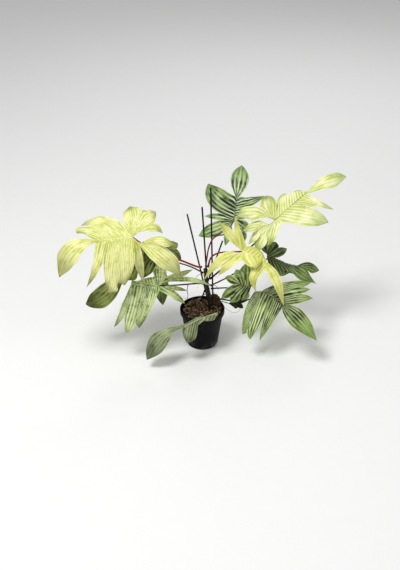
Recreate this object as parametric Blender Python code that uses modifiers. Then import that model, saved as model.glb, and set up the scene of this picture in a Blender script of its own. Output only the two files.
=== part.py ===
"""Potted philodendron: lobed leaves on long stalks from one short stem, tied up with thin canes in a nursery pot.

Metres, +Z up. The origin is the centre of the pot's flat base, +X is to the right and +Y to the back.
The leaf, stalk, root and cane tables are written in centimetres and turned into metres by CM.
"""

import math
from typing import NamedTuple

import bmesh
import bpy
import numpy as np
from mathutils import Matrix, Vector

CM = 0.01
GAP = 0.0003  # air kept between pieces that touch in the real plant

# Pot: a turned, thin-walled nursery pot.
POT_HEIGHT = 0.110
RIM_RADIUS = 0.060
BASE_RADIUS = 0.0405
POT_WALL = 0.0016
POT_FLOOR = 0.0022
LIP_DEPTH = 0.014
LIP_STEP = 0.0030
BASE_ROUNDING = 0.004
POT_SEGMENTS = 40
DRAIN_HOLES = 6
DRAIN_CIRCLE = 0.027
DRAIN_RADIUS = 0.0042
DRAIN_TURN = 0.28  # of the angle between two holes, so that no hole meets a facet's edge squarely

# Soil: fills the pot to a little under its rim.
SOIL_TOP = 0.104
SOIL_CROWN = 0.0025

# Stem and what grows at its foot.
STEM_RADIUS = 0.006
ROOT_MASS_CENTRE = (0.034, 0.023)
ROOT_MASS_RADII = (0.0142, 0.015, 0.032)

# Canes: round black plant stakes.
CANE_RADIUS = 0.0022
CANE_FOOT = 0.025

# Leaves.
BLADE_THICKNESS = 0.0009
WEB_ROWS = 1
LOBE_ROWS = 4
STALK_STOPS_SHORT = 0.0038  # from the end of a stalk to the leaf's joint
STALK_POINTS = 11


class Lobe(NamedTuple):
    """One lobe of a leaf, in centimetres from the leaf's joint.

    rib_to      where its root ends along the ribs (see Leaf); it starts where the lobe before it ends
    tip         the tip's offset from the joint: right, back, up
    bow         how far the middle of its vein is pulled off the straight line
    half_widths control values of the half width, from the web to the tip, which is a point
    web         length of the web that joins it to the lobe after it
    columns     mesh columns across the lobe
    """

    rib_to: float
    tip: tuple
    bow: tuple
    half_widths: tuple
    web: float
    columns: int = 2


class Leaf(NamedTuple):
    """A lobed blade. Its lobes stand in order round the ribs, whose places are counted from the right
    side rib's end, -2, to the joint, -1, out along the midrib to its end, 0, back to the joint, 1, and
    out to the left side rib's end, 2."""

    joint: tuple
    midrib: tuple
    midrib_bow: tuple
    right_rib: tuple
    left_rib: tuple
    faces: tuple
    start: float
    lobes: list


LEAVES = {
    "upper_left": Leaf(
        joint=(-17.5, -5, 35.5),
        midrib=(-8.5, -2.5, 0.5),
        midrib_bow=(0, 0, 0),
        right_rib=(2, 1.5, 1),
        left_rib=(2.5, -1.5, -1.5),
        faces=(0, -0.4, 0.92),
        start=-2,
        lobes=[
            Lobe(-1.6, (7.5, 3, -0.5), (0.5, 2.5, 2), (0.8, 1.8, 1.8), 1.5),
            Lobe(-1.3, (5.5, 9, 2.5), (0, 0, 1), (1, 2, 2.4), 10.5),
            Lobe(-1, (-1, 9, 4), (0, 0, 1), (0.8, 2.2, 3.2), 2.5),
            Lobe(-0.5, (-13.5, 6, 0), (-0.5, 6.5, 2.5), (2.4, 3, 1), 11, columns=3),
            Lobe(0, (-14, 2, -0), (-1, 5, 0), (1.6, 2.2, 0.6), 1.2, columns=3),
            Lobe(0, (-18, -6, -8), (-3, 1, 4.5), (0.5, 2.2, 6), 1),
            Lobe(1 / 3, (-11.5, -6, -11), (1.5, -2.5, 2), (1.5, 1.6, 0.8), 5),
            Lobe(2 / 3, (-6, -6, -12.5), (0.5, -3, 1.5), (2.4, 2.3, 2), 15),
            Lobe(1, (-2, -5, -11), (0.5, -3, 1.5), (2.4, 2.3, 2.2), 1.5),
            Lobe(1.35, (2.5, -2, -12), (0, -1.5, 1), (0.8, 1.7, 1.2), 1.5),
            Lobe(1.75, (12, -4, -8.5), (1, -0.5, 2.5), (1.2, 3, 4), 5),
            Lobe(2, (10.5, -0.5, -2), (0.5, 1, 2), (0.8, 1.8, 1.8), 2),
        ],
    ),
    "lower_left": Leaf(
        joint=(-11.5, -4, 20.5),
        midrib=(-6.5, -2, 3),
        midrib_bow=(0, 0, 0),
        right_rib=(2, 1, 1),
        left_rib=(1.5, -0.5, 0),
        faces=(0, -0.4, 0.92),
        start=-2,
        lobes=[
            Lobe(-1.55, (14, 0.5, -0.5), (1, -0, 3), (0.4, 1.2, 0.8), 1.5),
            Lobe(-1.25, (9, 4, 2.5), (0, 0, 0.5), (0.6, 1.4, 1), 2.5),
            Lobe(-1, (0.5, 5, 4), (0, 0, 0), (0.8, 2.2, 2), 2.5),
            Lobe(0, (-5, 7, -4), (0, 0, 3), (2.5, 3.5, 2), 3, columns=4),
            Lobe(0, (-11.5, -5, -9.5), (1.5, -1.5, 1.5), (0.8, 1.1, 0.8), 11),
            Lobe(0.5, (-8.5, -5, -11.5), (1, -2, 2), (1.6, 1.7, 1.2), 13),
            Lobe(1, (-5, -4, -10.5), (0.5, -2, 2), (1.6, 1.8, 1.4), 1.5),
            Lobe(1.5, (7, -3, -3.5), (0, 0, 1), (0.7, 1.2, 1.4), 1.5),
            Lobe(2, (7.5, -1.5, -0.5), (0, 0, 0.5), (0.4, 0.9, 0.8), 1.5),
        ],
    ),
    "rear_left": Leaf(
        joint=(-11, 3, 26),
        midrib=(-8.5, -2, -3.5),
        midrib_bow=(0, 0, 0),
        right_rib=(1.5, 1, 0),
        left_rib=(-1, -1.5, -1.5),
        faces=(0, -0.5, 0.85),
        start=-2,
        lobes=[
            Lobe(-1.5, (5.5, 1, -3), (0, 0, 3), (0.8, 2, 1.8), 2.5),
            Lobe(-1, (4.5, 4, 1), (0, 0, 1), (0.8, 2, 1.8), 2.5),
            Lobe(-0.5, (-3, 5, 1.5), (0, 0, 1), (1.8, 2.4, 1.8), 6),
            Lobe(0, (-7.5, 4, 1.5), (0, 0, 1), (1.8, 2.4, 1.8), 3),
            Lobe(0, (-19.5, -8, -10.5), (-0.5, -1, -3.5), (0.8, 3, 4.6), 2),
            Lobe(0.5, (-8.5, -5, -5), (0, 0, 1), (1.8, 2.4, 1.6), 4),
            Lobe(1, (-4.5, -4, -5), (0, 0, 1), (1.8, 2.2, 1.4), 3),
            Lobe(2, (0.5, -4, -13.5), (0, -0.5, 1.5), (0.6, 1.6, 3.4), 1),
        ],
    ),
    "top": Leaf(
        joint=(8.5, 9, 33),
        midrib=(0.5, 3.5, 4),
        midrib_bow=(0, 0, 0),
        right_rib=(1, -0.5, -1.5),
        left_rib=(-1, -0.5, -1.5),
        faces=(-0.1, -0.75, 0.65),
        start=-2,
        lobes=[
            Lobe(-1.5, (2.5, -2.5, -5.5), (0, -1, 1), (0.8, 1.8, 1.6), 2.5),
            Lobe(-1, (4, -1, -3), (0, -1, 1), (0.8, 1.8, 1.5), 2),
            Lobe(-0.5, (7, 1, 1.5), (0, 0, 1), (1.2, 1.8, 1.4), 3.5),
            Lobe(0, (8, 4, 5), (0, 0, -0.5), (1.2, 1.6, 0.6), 1.5),
            Lobe(0, (2, 9, 11.5), (-0, -0, 0.5), (0.4, 3, 3.4), 1.5),
            Lobe(1, (-7, 3, 9), (-2, 0, -1), (2.8, 3.2, 3.2), 2, columns=4),
            Lobe(1.3, (-8, -1, 1.5), (0, 0, 1), (0.6, 1.4, 0.8), 2),
            Lobe(1.7, (-9.5, -3.5, -3), (0, -0.5, 0.5), (1, 2.6, 2.4), 2),
            Lobe(2, (-2.5, -3.5, -6), (0, -1, 0.5), (0.6, 1.6, 0.8), 1.5),
        ],
    ),
    "upper_right": Leaf(
        joint=(19, 6, 34.5),
        midrib=(8, 3, 6.5),
        midrib_bow=(0, 0, 0),
        right_rib=(-2, -1, -1),
        left_rib=(-2.5, 0, 1),
        faces=(-0.3, -0.5, 0.8),
        start=-2,
        lobes=[
            Lobe(-1.75, (-8.5, -2, -2), (0, 0, 1), (1, 2.2, 1.2), 4),
            Lobe(-1.5, (-7, -3, -5.5), (0, 0, 1.5), (0.6, 1.5, 1.1), 5),
            Lobe(-1.25, (-5, -4, -7), (0, 0, 1.5), (0.8, 2.2, 2.2), 5),
            Lobe(-1, (-2, -4, -5.5), (0, 0, 1.5), (0.8, 2.2, 2.4), 2),
            Lobe(-0.5, (13, -5, 2), (0, 0, 1), (1.6, 2.8, 3.6), 2),
            Lobe(0, (14.5, -3, 4.5), (0.5, -0.5, 1), (0.7, 1.3, 0.6), 1),
            Lobe(0, (18, 4, 10.5), (-0, 1, 1), (0.35, 1.6, 4), 1),
            Lobe(0.5, (5.5, 5, 6), (0, 0, 0.5), (1.7, 1.6, 1.4), 6.5),
            Lobe(1, (2, 5, 5), (0, 0, 0.5), (1.8, 1.8, 2), 1.2),
            Lobe(1.5, (-2.5, 2, 6), (0, 2, 0.5), (0.9, 2.2, 2.4), 4.5),
            Lobe(2, (-10, 0, 1), (-0, 1.5, 1.5), (1.2, 3, 2), 2),
        ],
    ),
    "rolled": Leaf(
        joint=(10, -6, 32),
        midrib=(6.5, -3, -2.5),
        midrib_bow=(0, 0, 1),
        right_rib=(-1.5, -0.5, -0.5),
        left_rib=(-1, 0.5, 1),
        faces=(-0.2, -0.6, 0.75),
        start=-2,
        lobes=[
            Lobe(-1.5, (-9.5, -0.5, -8), (-0.5, 0.5, 3.5), (0.6, 2, 1.2), 1.5),
            Lobe(-1, (-6, -2.5, -5.5), (0, 0, 1), (0.6, 1.9, 1.3), 1),
            Lobe(-1 / 3, (3.5, -4.5, -2), (0, -0.5, 0), (2.8, 2, 1.6), 1, columns=4),
            Lobe(0, (3.5, -4.5, -9), (-3.5, -1.5, 1), (1.1, 1.6, 1), 1.2),
            Lobe(0, (10.5, -6, -12.5), (-0, -1.5, 4), (0.9, 1.7, 1.1), 1.5),
            Lobe(1, (5, -0.5, -0), (0, 0, 0.4), (3.2, 3, 1.8), 0.8, columns=6),
            Lobe(1.5, (-2, 3, 8.5), (0, 0, 0), (0.5, 1.4, 0.6), 1.2),
            Lobe(2, (-6, 1, 8), (0, 0, 1), (0.5, 1.8, 0.9), 1.2),
        ],
    ),
    "rear_right": Leaf(
        joint=(17.5, 8, 21.5),
        midrib=(8.5, -2, -1.5),
        midrib_bow=(0, 0, 0),
        right_rib=(0, 0, 0),
        left_rib=(-0, 1, 1),
        faces=(0, -0.4, 0.9),
        start=-1,
        lobes=[
            Lobe(-0.5, (4, -4, -3), (0, 0, 0.5), (2.2, 2.6, 2.4), 4.5),
            Lobe(0, (13, -5.5, -4.5), (-1, 0, 1), (1.6, 2.8, 0.4), 3),
            Lobe(0, (14, -2, -2.5), (-0.5, 1, 1), (0.6, 2, 2.2), 1.5),
            Lobe(1, (6, 4, -5.5), (0, 0, 2), (2.5, 3, 1.6), 1.5, columns=4),
            Lobe(1.35, (5.5, 3, 1.5), (0, 0, 0), (0.6, 1.6, 1.8), 3.5),
            Lobe(1.7, (2.5, 4, 3), (0, 0, 0), (0.6, 1.6, 1.6), 3.5),
            Lobe(2, (-1.5, 2, 3), (0, 0, 0), (0.6, 1.6, 1.5), 2),
        ],
    ),
    "lower_right": Leaf(
        joint=(15.5, -2, 17.5),
        midrib=(5.5, -3, -2.5),
        midrib_bow=(0, 0, 1),
        right_rib=(-2, 0, -0),
        left_rib=(0, 0, 0),
        faces=(0.2, -0.5, 0.8),
        start=-1.6,
        lobes=[
            Lobe(-1, (-5, -6, -9.5), (-0.2, -1, 1.6), (1.2, 1.9, 1.5), 11),
            Lobe(-0.5, (-3, -7, -10.5), (-0.5, -1, 1.8), (1.3, 1.8, 1.2), 6.5, columns=3),
            Lobe(0, (-0.5, -7.5, -10.5), (0.5, -1, 1.8), (1.2, 1.6, 0.9), 1.5, columns=3),
            Lobe(0, (14, -10, -8.5), (-1, 0.5, 2.5), (0.7, 4.2, 3.2), 1.2),
            Lobe(1 / 3, (13.5, -1, -1.5), (0, 0, 1), (0.9, 1.9, 1.2), 4.5),
            Lobe(2 / 3, (13, 1, -0), (0, 0, 1), (0.9, 1.5, 1), 6),
            Lobe(1, (13.5, 3, 1), (0, 0, 1), (1.2, 2, 1.2), 2),
        ],
    ),
    "low_middle": Leaf(
        joint=(13, 3, 15.5),
        midrib=(-3, -1.5, 2),
        midrib_bow=(0, 0, 0),
        right_rib=(0, 0, 0),
        left_rib=(0, 0, 0),
        faces=(0, -0.5, 0.85),
        start=-1,
        lobes=[
            Lobe(-0.5, (-1, 2.5, 6.5), (0, 0, 0), (1.5, 3.2, 2.6), 1.2, columns=3),
            Lobe(0, (-4, 0.5, 5.5), (0, 0, 0.5), (1, 1.8, 1.2), 2.5, columns=3),
            Lobe(0, (-7, -2, 4.5), (0, 0, 0.5), (0.7, 1.8, 1), 1.5),
            Lobe(1 / 3, (-8, -4.5, -0.5), (0, 0, 0.5), (0.8, 2, 1.4), 3),
            Lobe(2 / 3, (-5.5, -5, -1.5), (0, 0, 0.5), (0.9, 1.8, 1.4), 3.5),
            Lobe(1, (-2.5, -4, -1.5), (0, 0, 0.5), (0.9, 1.8, 1.4), 2),
        ],
    ),
    "small": Leaf(
        joint=(7, 1.5, 11.5),
        midrib=(2, 0, 0),
        midrib_bow=(0, 0, 0),
        right_rib=(0, 0, 0),
        left_rib=(0, 0, 0),
        faces=(0, -0.5, 0.85),
        start=-1,
        lobes=[
            Lobe(0, (2.5, -1.5, -0.5), (0, 0, 0), (0.6, 0.9, 0.5), 0.8),
            Lobe(0, (4, -1, -1), (0, 0, 0.5), (0.5, 1, 0.8), 0.8),
            Lobe(1, (5.5, 1, 0.5), (0, 0, 0), (0.5, 0.9, 0.7), 0.8),
        ],
    ),
    "old": Leaf(
        joint=(4, -6, 13.5),
        midrib=(-9, -3.5, -2.5),
        midrib_bow=(0, 0, 1),
        right_rib=(0, 0, 0),
        left_rib=(0, 0, 0),
        faces=(-0.1, -0.6, 0.8),
        start=-1,
        lobes=[
            Lobe(0, (-4.5, -1, -0.5), (0, 0, 0), (2.2, 1.3, 0.7), 0.4, columns=4),
            Lobe(0, (-18.5, -6.5, -10.5), (-1.5, 0, 4), (0.15, 0.15, 3.6, 3.8), 0.5),
            Lobe(0.5, (-8, -4.5, -6.5), (0, 0, 0), (1.6, 2.2, 2.2), 2),
            Lobe(1, (-3, -2.5, -1), (0, 0, 0), (1.8, 1.5, 0.9), 0.6),
        ],
    ),
}

LEAF_COLOURS = {
    "upper_left": (0.72, 0.76, 0.26),
    "lower_left": (0.42, 0.54, 0.16),
    "rear_left": (0.06, 0.09, 0.03),
    "top": (0.18, 0.29, 0.10),
    "upper_right": (0.70, 0.77, 0.32),
    "rolled": (0.62, 0.66, 0.16),
    "rear_right": (0.10, 0.14, 0.05),
    "lower_right": (0.24, 0.36, 0.14),
    "low_middle": (0.20, 0.30, 0.10),
    "small": (0.05, 0.07, 0.03),
    "old": (0.22, 0.27, 0.13),
}
RED_STALK = (0.20, 0.05, 0.03)
DARK_STALK = (0.05, 0.03, 0.02)
GREEN_STALK = (0.12, 0.15, 0.05)

# Stalks: radius, colour and the points from the stem's side towards the leaf's joint, which ends the route.
STALKS = {
    "upper_left": (0.26, RED_STALK, [(0, 0.45, 23.6), (-1.5, 0, 24), (-5, -1, 26.2), (-13, -3.6, 31.4)]),
    "top": (
        0.2,
        RED_STALK,
        [(0.85, 0.6, 23.3), (1.2, 0.5, 26.5), (1.6, 0.2, 29.3), (2.4, 0, 31.8), (3.6, 0.8, 32.6),
         (4.6, 3.6, 31.3), (5.6, 7, 29.6), (7.2, 9.6, 30)],
    ),
    "rolled": (0.24, RED_STALK, [(1.45, 0, 23.8), (2.2, -1, 27.2), (4, -2.5, 29.5), (7.2, -4.8, 31.2)]),
    "upper_right": (
        0.24,
        DARK_STALK,
        [(1.9, 0.85, 19.5), (4.9, 2.5, 21.4), (8.3, 4, 23.6), (13.5, 5.5, 27.4), (17.6, 6, 31.8)],
    ),
    "rear_right": (
        0.2,
        DARK_STALK,
        [(2.05, 0.9, 17.4), (6.6, 4.2, 17.9), (9.4, 6.2, 18.5), (13.4, 8, 19.8)],
    ),
    "low_middle": (0.2, DARK_STALK, [(2.2, 0.4, 16.9), (7.1, 1.8, 16.2), (10.9, 2.8, 14.9)]),
    "lower_right": (
        0.22,
        DARK_STALK,
        [(2.65, 0.2, 14.2), (5.5, 0.6, 13.3), (9, 0.5, 12.9), (12.2, -0.3, 13.8), (14.4, -1.4, 16)],
    ),
    "lower_left": (0.22, DARK_STALK, [(0.35, 0.35, 18.4), (-0.8, 0, 18.8), (-5.8, -2, 19.6)]),
    "rear_left": (0.2, DARK_STALK, [(0.3, 1, 21.4), (-3.3, 2.5, 22.5), (-7.5, 3.2, 23.6), (-9.8, 3.2, 24.6)]),
    "old": (0.16, GREEN_STALK, [(2.3, -0.8, 11.6), (3, -2.5, 13.2), (3.8, -4.6, 14)]),
    "small": (0.13, GREEN_STALK, [(2.95, 0.5, 12), (4.8, 1.2, 12.3)]),
}

STEM_ROUTE = [(2, 0.2, 8.5), (2.1, 0.15, 12.5), (1.7, 0.3, 15.2), (1.2, 0.5, 18), (0.8, 0.5, 23.2)]

# Canes: a point above the soil line that the cane passes through, and its top.
CANES = {
    "cane_left": ((-0.1, 2, 19.8), (-3.9, 3, 37.8)),
    "cane_middle": ((0.9, -1.3, 26), (-0.1, -1.3, 42.1)),
    "cane_tall": ((2.9, -0.8, 10.4), (2.05, 2.2, 45.7)),
    "cane_rear": ((-0.7, 2.6, 10.4), (5.3, 4.7, 29)),
}

# Roots in the air and on the soil: radius and route.
ROOTS = {
    "aerial_root_upper": (0.08, [(0.15, 0.05, 21.4), (-0.7, -0.5, 21.9), (-1.6, -0.9, 21.3), (-1.9, -1.1, 20.4)]),
    "aerial_root_left": (
        0.1,
        [(0.95, -0.3, 15.6), (-0.2, -0.9, 15.4), (-1.1, -1.2, 14), (-0.9, -1.4, 12.2), (-0.7, -1.5, 11)],
    ),
    "aerial_root_right": (0.09, [(2.1, -0.2, 18.6), (2.9, -0.9, 18.9), (3.9, -1.3, 18.4), (4.4, -1.2, 17.5)]),
    "hanging_root": (0.11, [(-3.8, -1.25, 19), (-4, -1.4, 17.4), (-3.8, -1.5, 16), (-4.1, -1.5, 14.6)]),
    "surface_root": (0.24, [(-2.6, 0.9, 11.05), (-1.4, 1.5, 11.1), (-0.2, 1.2, 11.05), (0.7, 0.3, 11.1)]),
}


def plastic_or_plant_material(name, colour, roughness, metallic=0.0):
    """A Principled material in one colour."""
    material = bpy.data.materials.new(name)
    material.use_nodes = True
    shader = material.node_tree.nodes["Principled BSDF"]
    shader.inputs["Base Color"].default_value = (*colour, 1.0)
    shader.inputs["Roughness"].default_value = roughness
    shader.inputs["Metallic"].default_value = metallic
    material.diffuse_color = (*colour, 1.0)
    return material


def add_object(name, data, collection, material):
    """Puts mesh or curve data in the scene as one object."""
    data.materials.append(material)
    obj = bpy.data.objects.new(name, data)
    collection.objects.link(obj)
    return obj


def unit(vectors):
    """The vectors at length 1."""
    return vectors / np.linalg.norm(vectors, axis=-1, keepdims=True)


def bezier(points, t):
    """Bezier curve through its first and last point, read at the places t from 0 to 1."""
    t = np.asarray(t, float)[..., None]
    level = [np.asarray(point, float) + 0 * t for point in points]
    while len(level) > 1:
        level = [first * (1 - t) + second * t for first, second in zip(level, level[1:])]
    return level[0]


def smooth_route(points, count):
    """Catmull-Rom curve through the points, as count points at even steps of its length."""
    points = np.array(points, float)
    ends = np.vstack([2 * points[0] - points[1], points, 2 * points[-1] - points[-2]])
    fine = []
    for before, start, end, after in zip(ends, ends[1:], ends[2:], ends[3:]):
        t = np.linspace(0, 1, 24, endpoint=False)[:, None]
        line = 2 * start + (end - before) * t
        bend = (2 * before - 5 * start + 4 * end - after) * t**2 + (3 * start - before - 3 * end + after) * t**3
        fine.append((line + bend) / 2)
    fine = np.vstack([*fine, points[-1:]])
    steps = np.concatenate([[0], np.cumsum(np.linalg.norm(np.diff(fine, axis=0), axis=1))])
    places = np.linspace(0, steps[-1], count)
    return np.column_stack([np.interp(places, steps, fine[:, axis]) for axis in range(3)])


def shortened(route, length):
    """The route without the given length at its end."""
    steps = np.concatenate([[0], np.cumsum(np.linalg.norm(np.diff(route, axis=0), axis=1))])
    places = np.linspace(0, steps[-1] - length, len(route))
    return np.column_stack([np.interp(places, steps, route[:, axis]) for axis in range(3)])


def tube(name, route, radii, collection, material, resolution=2):
    """Round rod along a route in metres, with closed ends. radii scales along it."""
    curve = bpy.data.curves.new(name, "CURVE")
    curve.dimensions = "3D"
    curve.bevel_depth = 1.0
    curve.bevel_resolution = resolution
    curve.use_fill_caps = True
    spline = curve.splines.new("POLY")
    spline.points.add(len(route) - 1)
    for point, place, radius in zip(spline.points, route, radii):
        point.co = (*place, 1.0)
        point.radius = radius
    spline.use_smooth = True
    return add_object(name, curve, collection, material)


def rib_places(leaf, k):
    """Points on the ribs at the places k: a bowed midrib, and straight side ribs."""
    k = np.asarray(k, float)
    end = np.array(leaf.midrib, float)
    along_midrib = bezier([np.zeros(3), end / 2 + leaf.midrib_bow, end], np.clip(1 - abs(k), 0, 1))
    on_right = np.multiply.outer(np.clip(-k - 1, 0, 1), leaf.right_rib)
    on_left = np.multiply.outer(np.clip(k - 1, 0, 1), leaf.left_rib)
    return along_midrib + on_right + on_left


def lobe_root(leaf, start, lobe):
    return rib_places(leaf, (start + lobe.rib_to) / 2)


def lobe_surface(leaf, lobe, root, v, q, u):
    """The lobe without its webs: a strip whose middle is a bowed curve from root to tip (v from 0 to 1)
    and whose half width is a Bezier curve of q. It lies across the leaf's facing direction (u from -1 to 1)."""
    tip = np.array(lobe.tip, float)
    pulled = (root + tip) / 2 + lobe.bow
    middle = bezier([root, pulled, tip], v)
    along = unit((1 - v)[..., None] * (pulled - root) + v[..., None] * (tip - pulled))
    across = unit(np.cross(tip - root, leaf.faces))
    side = unit(across - (along @ across)[..., None] * along)
    half_width = bezier([[width] for width in (*lobe.half_widths, 0)], q)
    return middle - side * half_width * u[..., None]


def lobe_grids(leaf):
    """One grid of points per lobe. Neighbouring lobes have the same points on the web that they share,
    and all their roots lie on the ribs, so that the grids join into one sheet."""
    webs = [1.5, *(lobe.web for lobe in leaf.lobes)]
    starts = [leaf.start, *(lobe.rib_to for lobe in leaf.lobes)]
    web_steps = np.linspace(0, 1, WEB_ROWS + 1)
    rows = np.concatenate([web_steps, 1 + np.linspace(0, 1, LOBE_ROWS + 1)[1:]])[:, None]
    strips = []
    for number, lobe in enumerate(leaf.lobes):
        root = lobe_root(leaf, starts[number], lobe)
        length = np.linalg.norm(np.array(lobe.tip) - root) + 0.6 * np.linalg.norm(lobe.bow)
        u = np.linspace(-1, 1, lobe.columns + 1)
        first, last = np.clip(np.array(webs[number : number + 2]) / length, 0.05, 0.92)
        web_end = (first + last) / 2 + abs(u) * np.where(u < 0, first - last, last - first) / 2
        v = np.where(rows <= 1, rows * web_end, web_end + (1 - web_end) * (rows - 1))
        q = np.clip((v - web_end) / (1 - web_end), 0, 1)
        strips.append((lobe_surface(leaf, lobe, root, v, q, u + 0 * v), u, q))
    shared = []
    for number, place in enumerate(starts):
        edges = [strip[0][: WEB_ROWS + 1, side] for strip, side in (
            *([(strips[number - 1], -1)] if number else []),
            *([(strips[number], 0)] if number < len(strips) else []),
        )]
        average = sum(edges) / len(edges)
        shared.append(average + (rib_places(leaf, place) - average[0]) * (1 - web_steps[:, None]) ** 2)
    grids = []
    for number, (points, u, q) in enumerate(strips):
        for column, weight in ((0, np.clip(-u, 0, 1)), (-1, np.clip(u, 0, 1))):
            edge = shared[number if column == 0 else number + 1]
            shift = edge - points[: WEB_ROWS + 1, column]
            fading = np.clip(1 - q[WEB_ROWS + 1 :, column] / 0.6, 0, 1)[:, None] ** 2
            shift = np.vstack([shift, shift[-1] * fading])
            points = points + (weight**1.3)[None, :, None] * shift[:, None, :]
        on_rib = rib_places(leaf, starts[number] + (starts[number + 1] - starts[number]) * (u + 1) / 2)
        fading = np.concatenate([(1 - web_steps) ** 2, np.zeros(LOBE_ROWS)])
        grids.append(points + (on_rib - points[0]) * fading[:, None, None] + leaf.joint)
    return grids


def blade(name, leaf, collection, material):
    """The leaf's lobes sewn into one sheet, then given its thickness."""
    sheet = bmesh.new()
    for grid in lobe_grids(leaf):
        points = [[sheet.verts.new(Vector(point) * CM) for point in row] for row in grid]
        for near, far in zip(points, points[1:]):
            for left, right, far_right, far_left in zip(near, near[1:], far[1:], far):
                sheet.faces.new((left, right, far_right, far_left))
    bmesh.ops.remove_doubles(sheet, verts=sheet.verts, dist=1e-5)
    bmesh.ops.recalc_face_normals(sheet, faces=sheet.faces)
    mesh = bpy.data.meshes.new(name)
    sheet.to_mesh(mesh)
    sheet.free()
    mesh.shade_smooth()
    obj = add_object(name, mesh, collection, material)
    thickness = obj.modifiers.new("thickness", "SOLIDIFY")
    thickness.thickness = BLADE_THICKNESS
    thickness.offset = 0.0
    return obj


def stalk(name, leaf, radius, points, collection, material):
    """A leaf stalk, thicker at its foot, that ends just short of the leaf's joint."""
    route = shortened(smooth_route([*points, leaf.joint], 4 * STALK_POINTS) * CM, STALK_STOPS_SHORT)
    route = smooth_route(route[:: 4], STALK_POINTS)
    radii = radius * CM * np.linspace(1.0, 0.8, STALK_POINTS)
    return tube(name, route, radii, collection, material)


def turned(name, profile, collection, material):
    """A solid or shell turned round Z from a closed profile of (radius, height)."""
    mesh = bpy.data.meshes.new(name)
    points = [(radius, 0.0, height) for radius, height in profile]
    mesh.from_pydata(points, [(n, n + 1) for n in range(len(points) - 1)], [])
    obj = add_object(name, mesh, collection, material)
    screw = obj.modifiers.new("turn", "SCREW")
    screw.axis = "Z"
    screw.steps = POT_SEGMENTS
    screw.render_steps = POT_SEGMENTS
    screw.use_merge_vertices = True
    screw.merge_threshold = 1e-5
    screw.use_smooth_shade = True
    return obj


def pot_radius(height):
    """Outer radius of the tapering wall below the lip."""
    under_lip = RIM_RADIUS - LIP_STEP
    return BASE_RADIUS + (under_lip - BASE_RADIUS) * height / (POT_HEIGHT - LIP_DEPTH)


def pot_profile():
    """From the middle of the floor up the inside, over the rim, down the outside and in to the middle of the base."""
    lip_bottom = POT_HEIGHT - LIP_DEPTH
    inside = [
        (0.0, POT_FLOOR),
        (pot_radius(POT_FLOOR) - POT_WALL - BASE_ROUNDING / 2, POT_FLOOR),
        (pot_radius(BASE_ROUNDING) - POT_WALL, BASE_ROUNDING + POT_FLOOR / 2),
        (pot_radius(lip_bottom) - POT_WALL, lip_bottom - 0.0012),
        (RIM_RADIUS - 0.0006 - POT_WALL, lip_bottom + 0.0012),
        (RIM_RADIUS - POT_WALL, POT_HEIGHT - POT_WALL / 2),
    ]
    outside = [
        (RIM_RADIUS - POT_WALL / 2, POT_HEIGHT),
        (RIM_RADIUS, POT_HEIGHT - POT_WALL / 2),
        (RIM_RADIUS - 0.0006, lip_bottom),
        (pot_radius(lip_bottom), lip_bottom - 0.0012),
    ]
    heel = [
        (
            pot_radius(BASE_ROUNDING) - BASE_ROUNDING * (1 - math.cos(angle)),
            BASE_ROUNDING * (1 - math.sin(angle)),
        )
        for angle in np.radians([0, 30, 60, 90])
    ]
    return [*inside, *outside, *heel, (0.0, 0.0)]


def soil_profile():
    """The inside of the pot, GAP smaller, with a crowned top."""
    lip_bottom = POT_HEIGHT - LIP_DEPTH
    clearance = POT_WALL + GAP
    top_radius = pot_radius(lip_bottom) - clearance + 0.0006
    return [
        (0.0, SOIL_TOP + SOIL_CROWN),
        (top_radius * 0.55, SOIL_TOP + SOIL_CROWN * 0.7),
        (top_radius * 0.9, SOIL_TOP),
        (top_radius, SOIL_TOP - 0.002),
        (pot_radius(lip_bottom) - clearance, lip_bottom - 0.001),
        (pot_radius(BASE_ROUNDING) - clearance - 0.0004, BASE_ROUNDING + POT_FLOOR),
        (pot_radius(POT_FLOOR) - clearance - BASE_ROUNDING / 2 - 0.001, POT_FLOOR + GAP),
        (0.0, POT_FLOOR + GAP),
    ]


def rod_cutter(name, foot, top, radius, cutters):
    """A round cutter from foot to top."""
    foot, top = Vector(foot), Vector(top)
    solid = bmesh.new()
    turn = (top - foot).to_track_quat("Z", "Y").to_matrix().to_4x4()
    bmesh.ops.create_cone(
        solid,
        cap_ends=True,
        segments=12,
        radius1=radius,
        radius2=radius,
        depth=(top - foot).length,
        matrix=Matrix.Translation((foot + top) / 2) @ turn,
    )
    mesh = bpy.data.meshes.new(name)
    solid.to_mesh(mesh)
    solid.free()
    obj = bpy.data.objects.new(name, mesh)
    obj.display_type = "WIRE"
    obj.hide_render = True
    cutters.objects.link(obj)
    return obj


def cut(obj, cutter):
    modifier = obj.modifiers.new("cut by " + cutter.name, "BOOLEAN")
    modifier.operation = "DIFFERENCE"
    modifier.solver = "EXACT"
    modifier.object = cutter


def cane_line(through, top):
    """Foot and top of a straight cane, in metres, that stands on the ground inside the soil at CANE_FOOT."""
    through, top = np.array(through) * CM, np.array(top) * CM
    foot = top + (through - top) * (top[2] - CANE_FOOT) / (top[2] - through[2])
    return foot, top


def build_pot(parts, cutters):
    black = plastic_or_plant_material("pot plastic", (0.010, 0.010, 0.012), 0.45)
    pot = turned("pot", pot_profile(), parts, black)
    for number in range(DRAIN_HOLES):
        angle = math.tau * (number + DRAIN_TURN) / DRAIN_HOLES
        x, y = DRAIN_CIRCLE * math.cos(angle), DRAIN_CIRCLE * math.sin(angle)
        name = f"drain_cutter_{number + 1}"
        cut(pot, rod_cutter(name, (x, y, -0.005), (x, y, 2 * POT_FLOOR), DRAIN_RADIUS, cutters))


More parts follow.
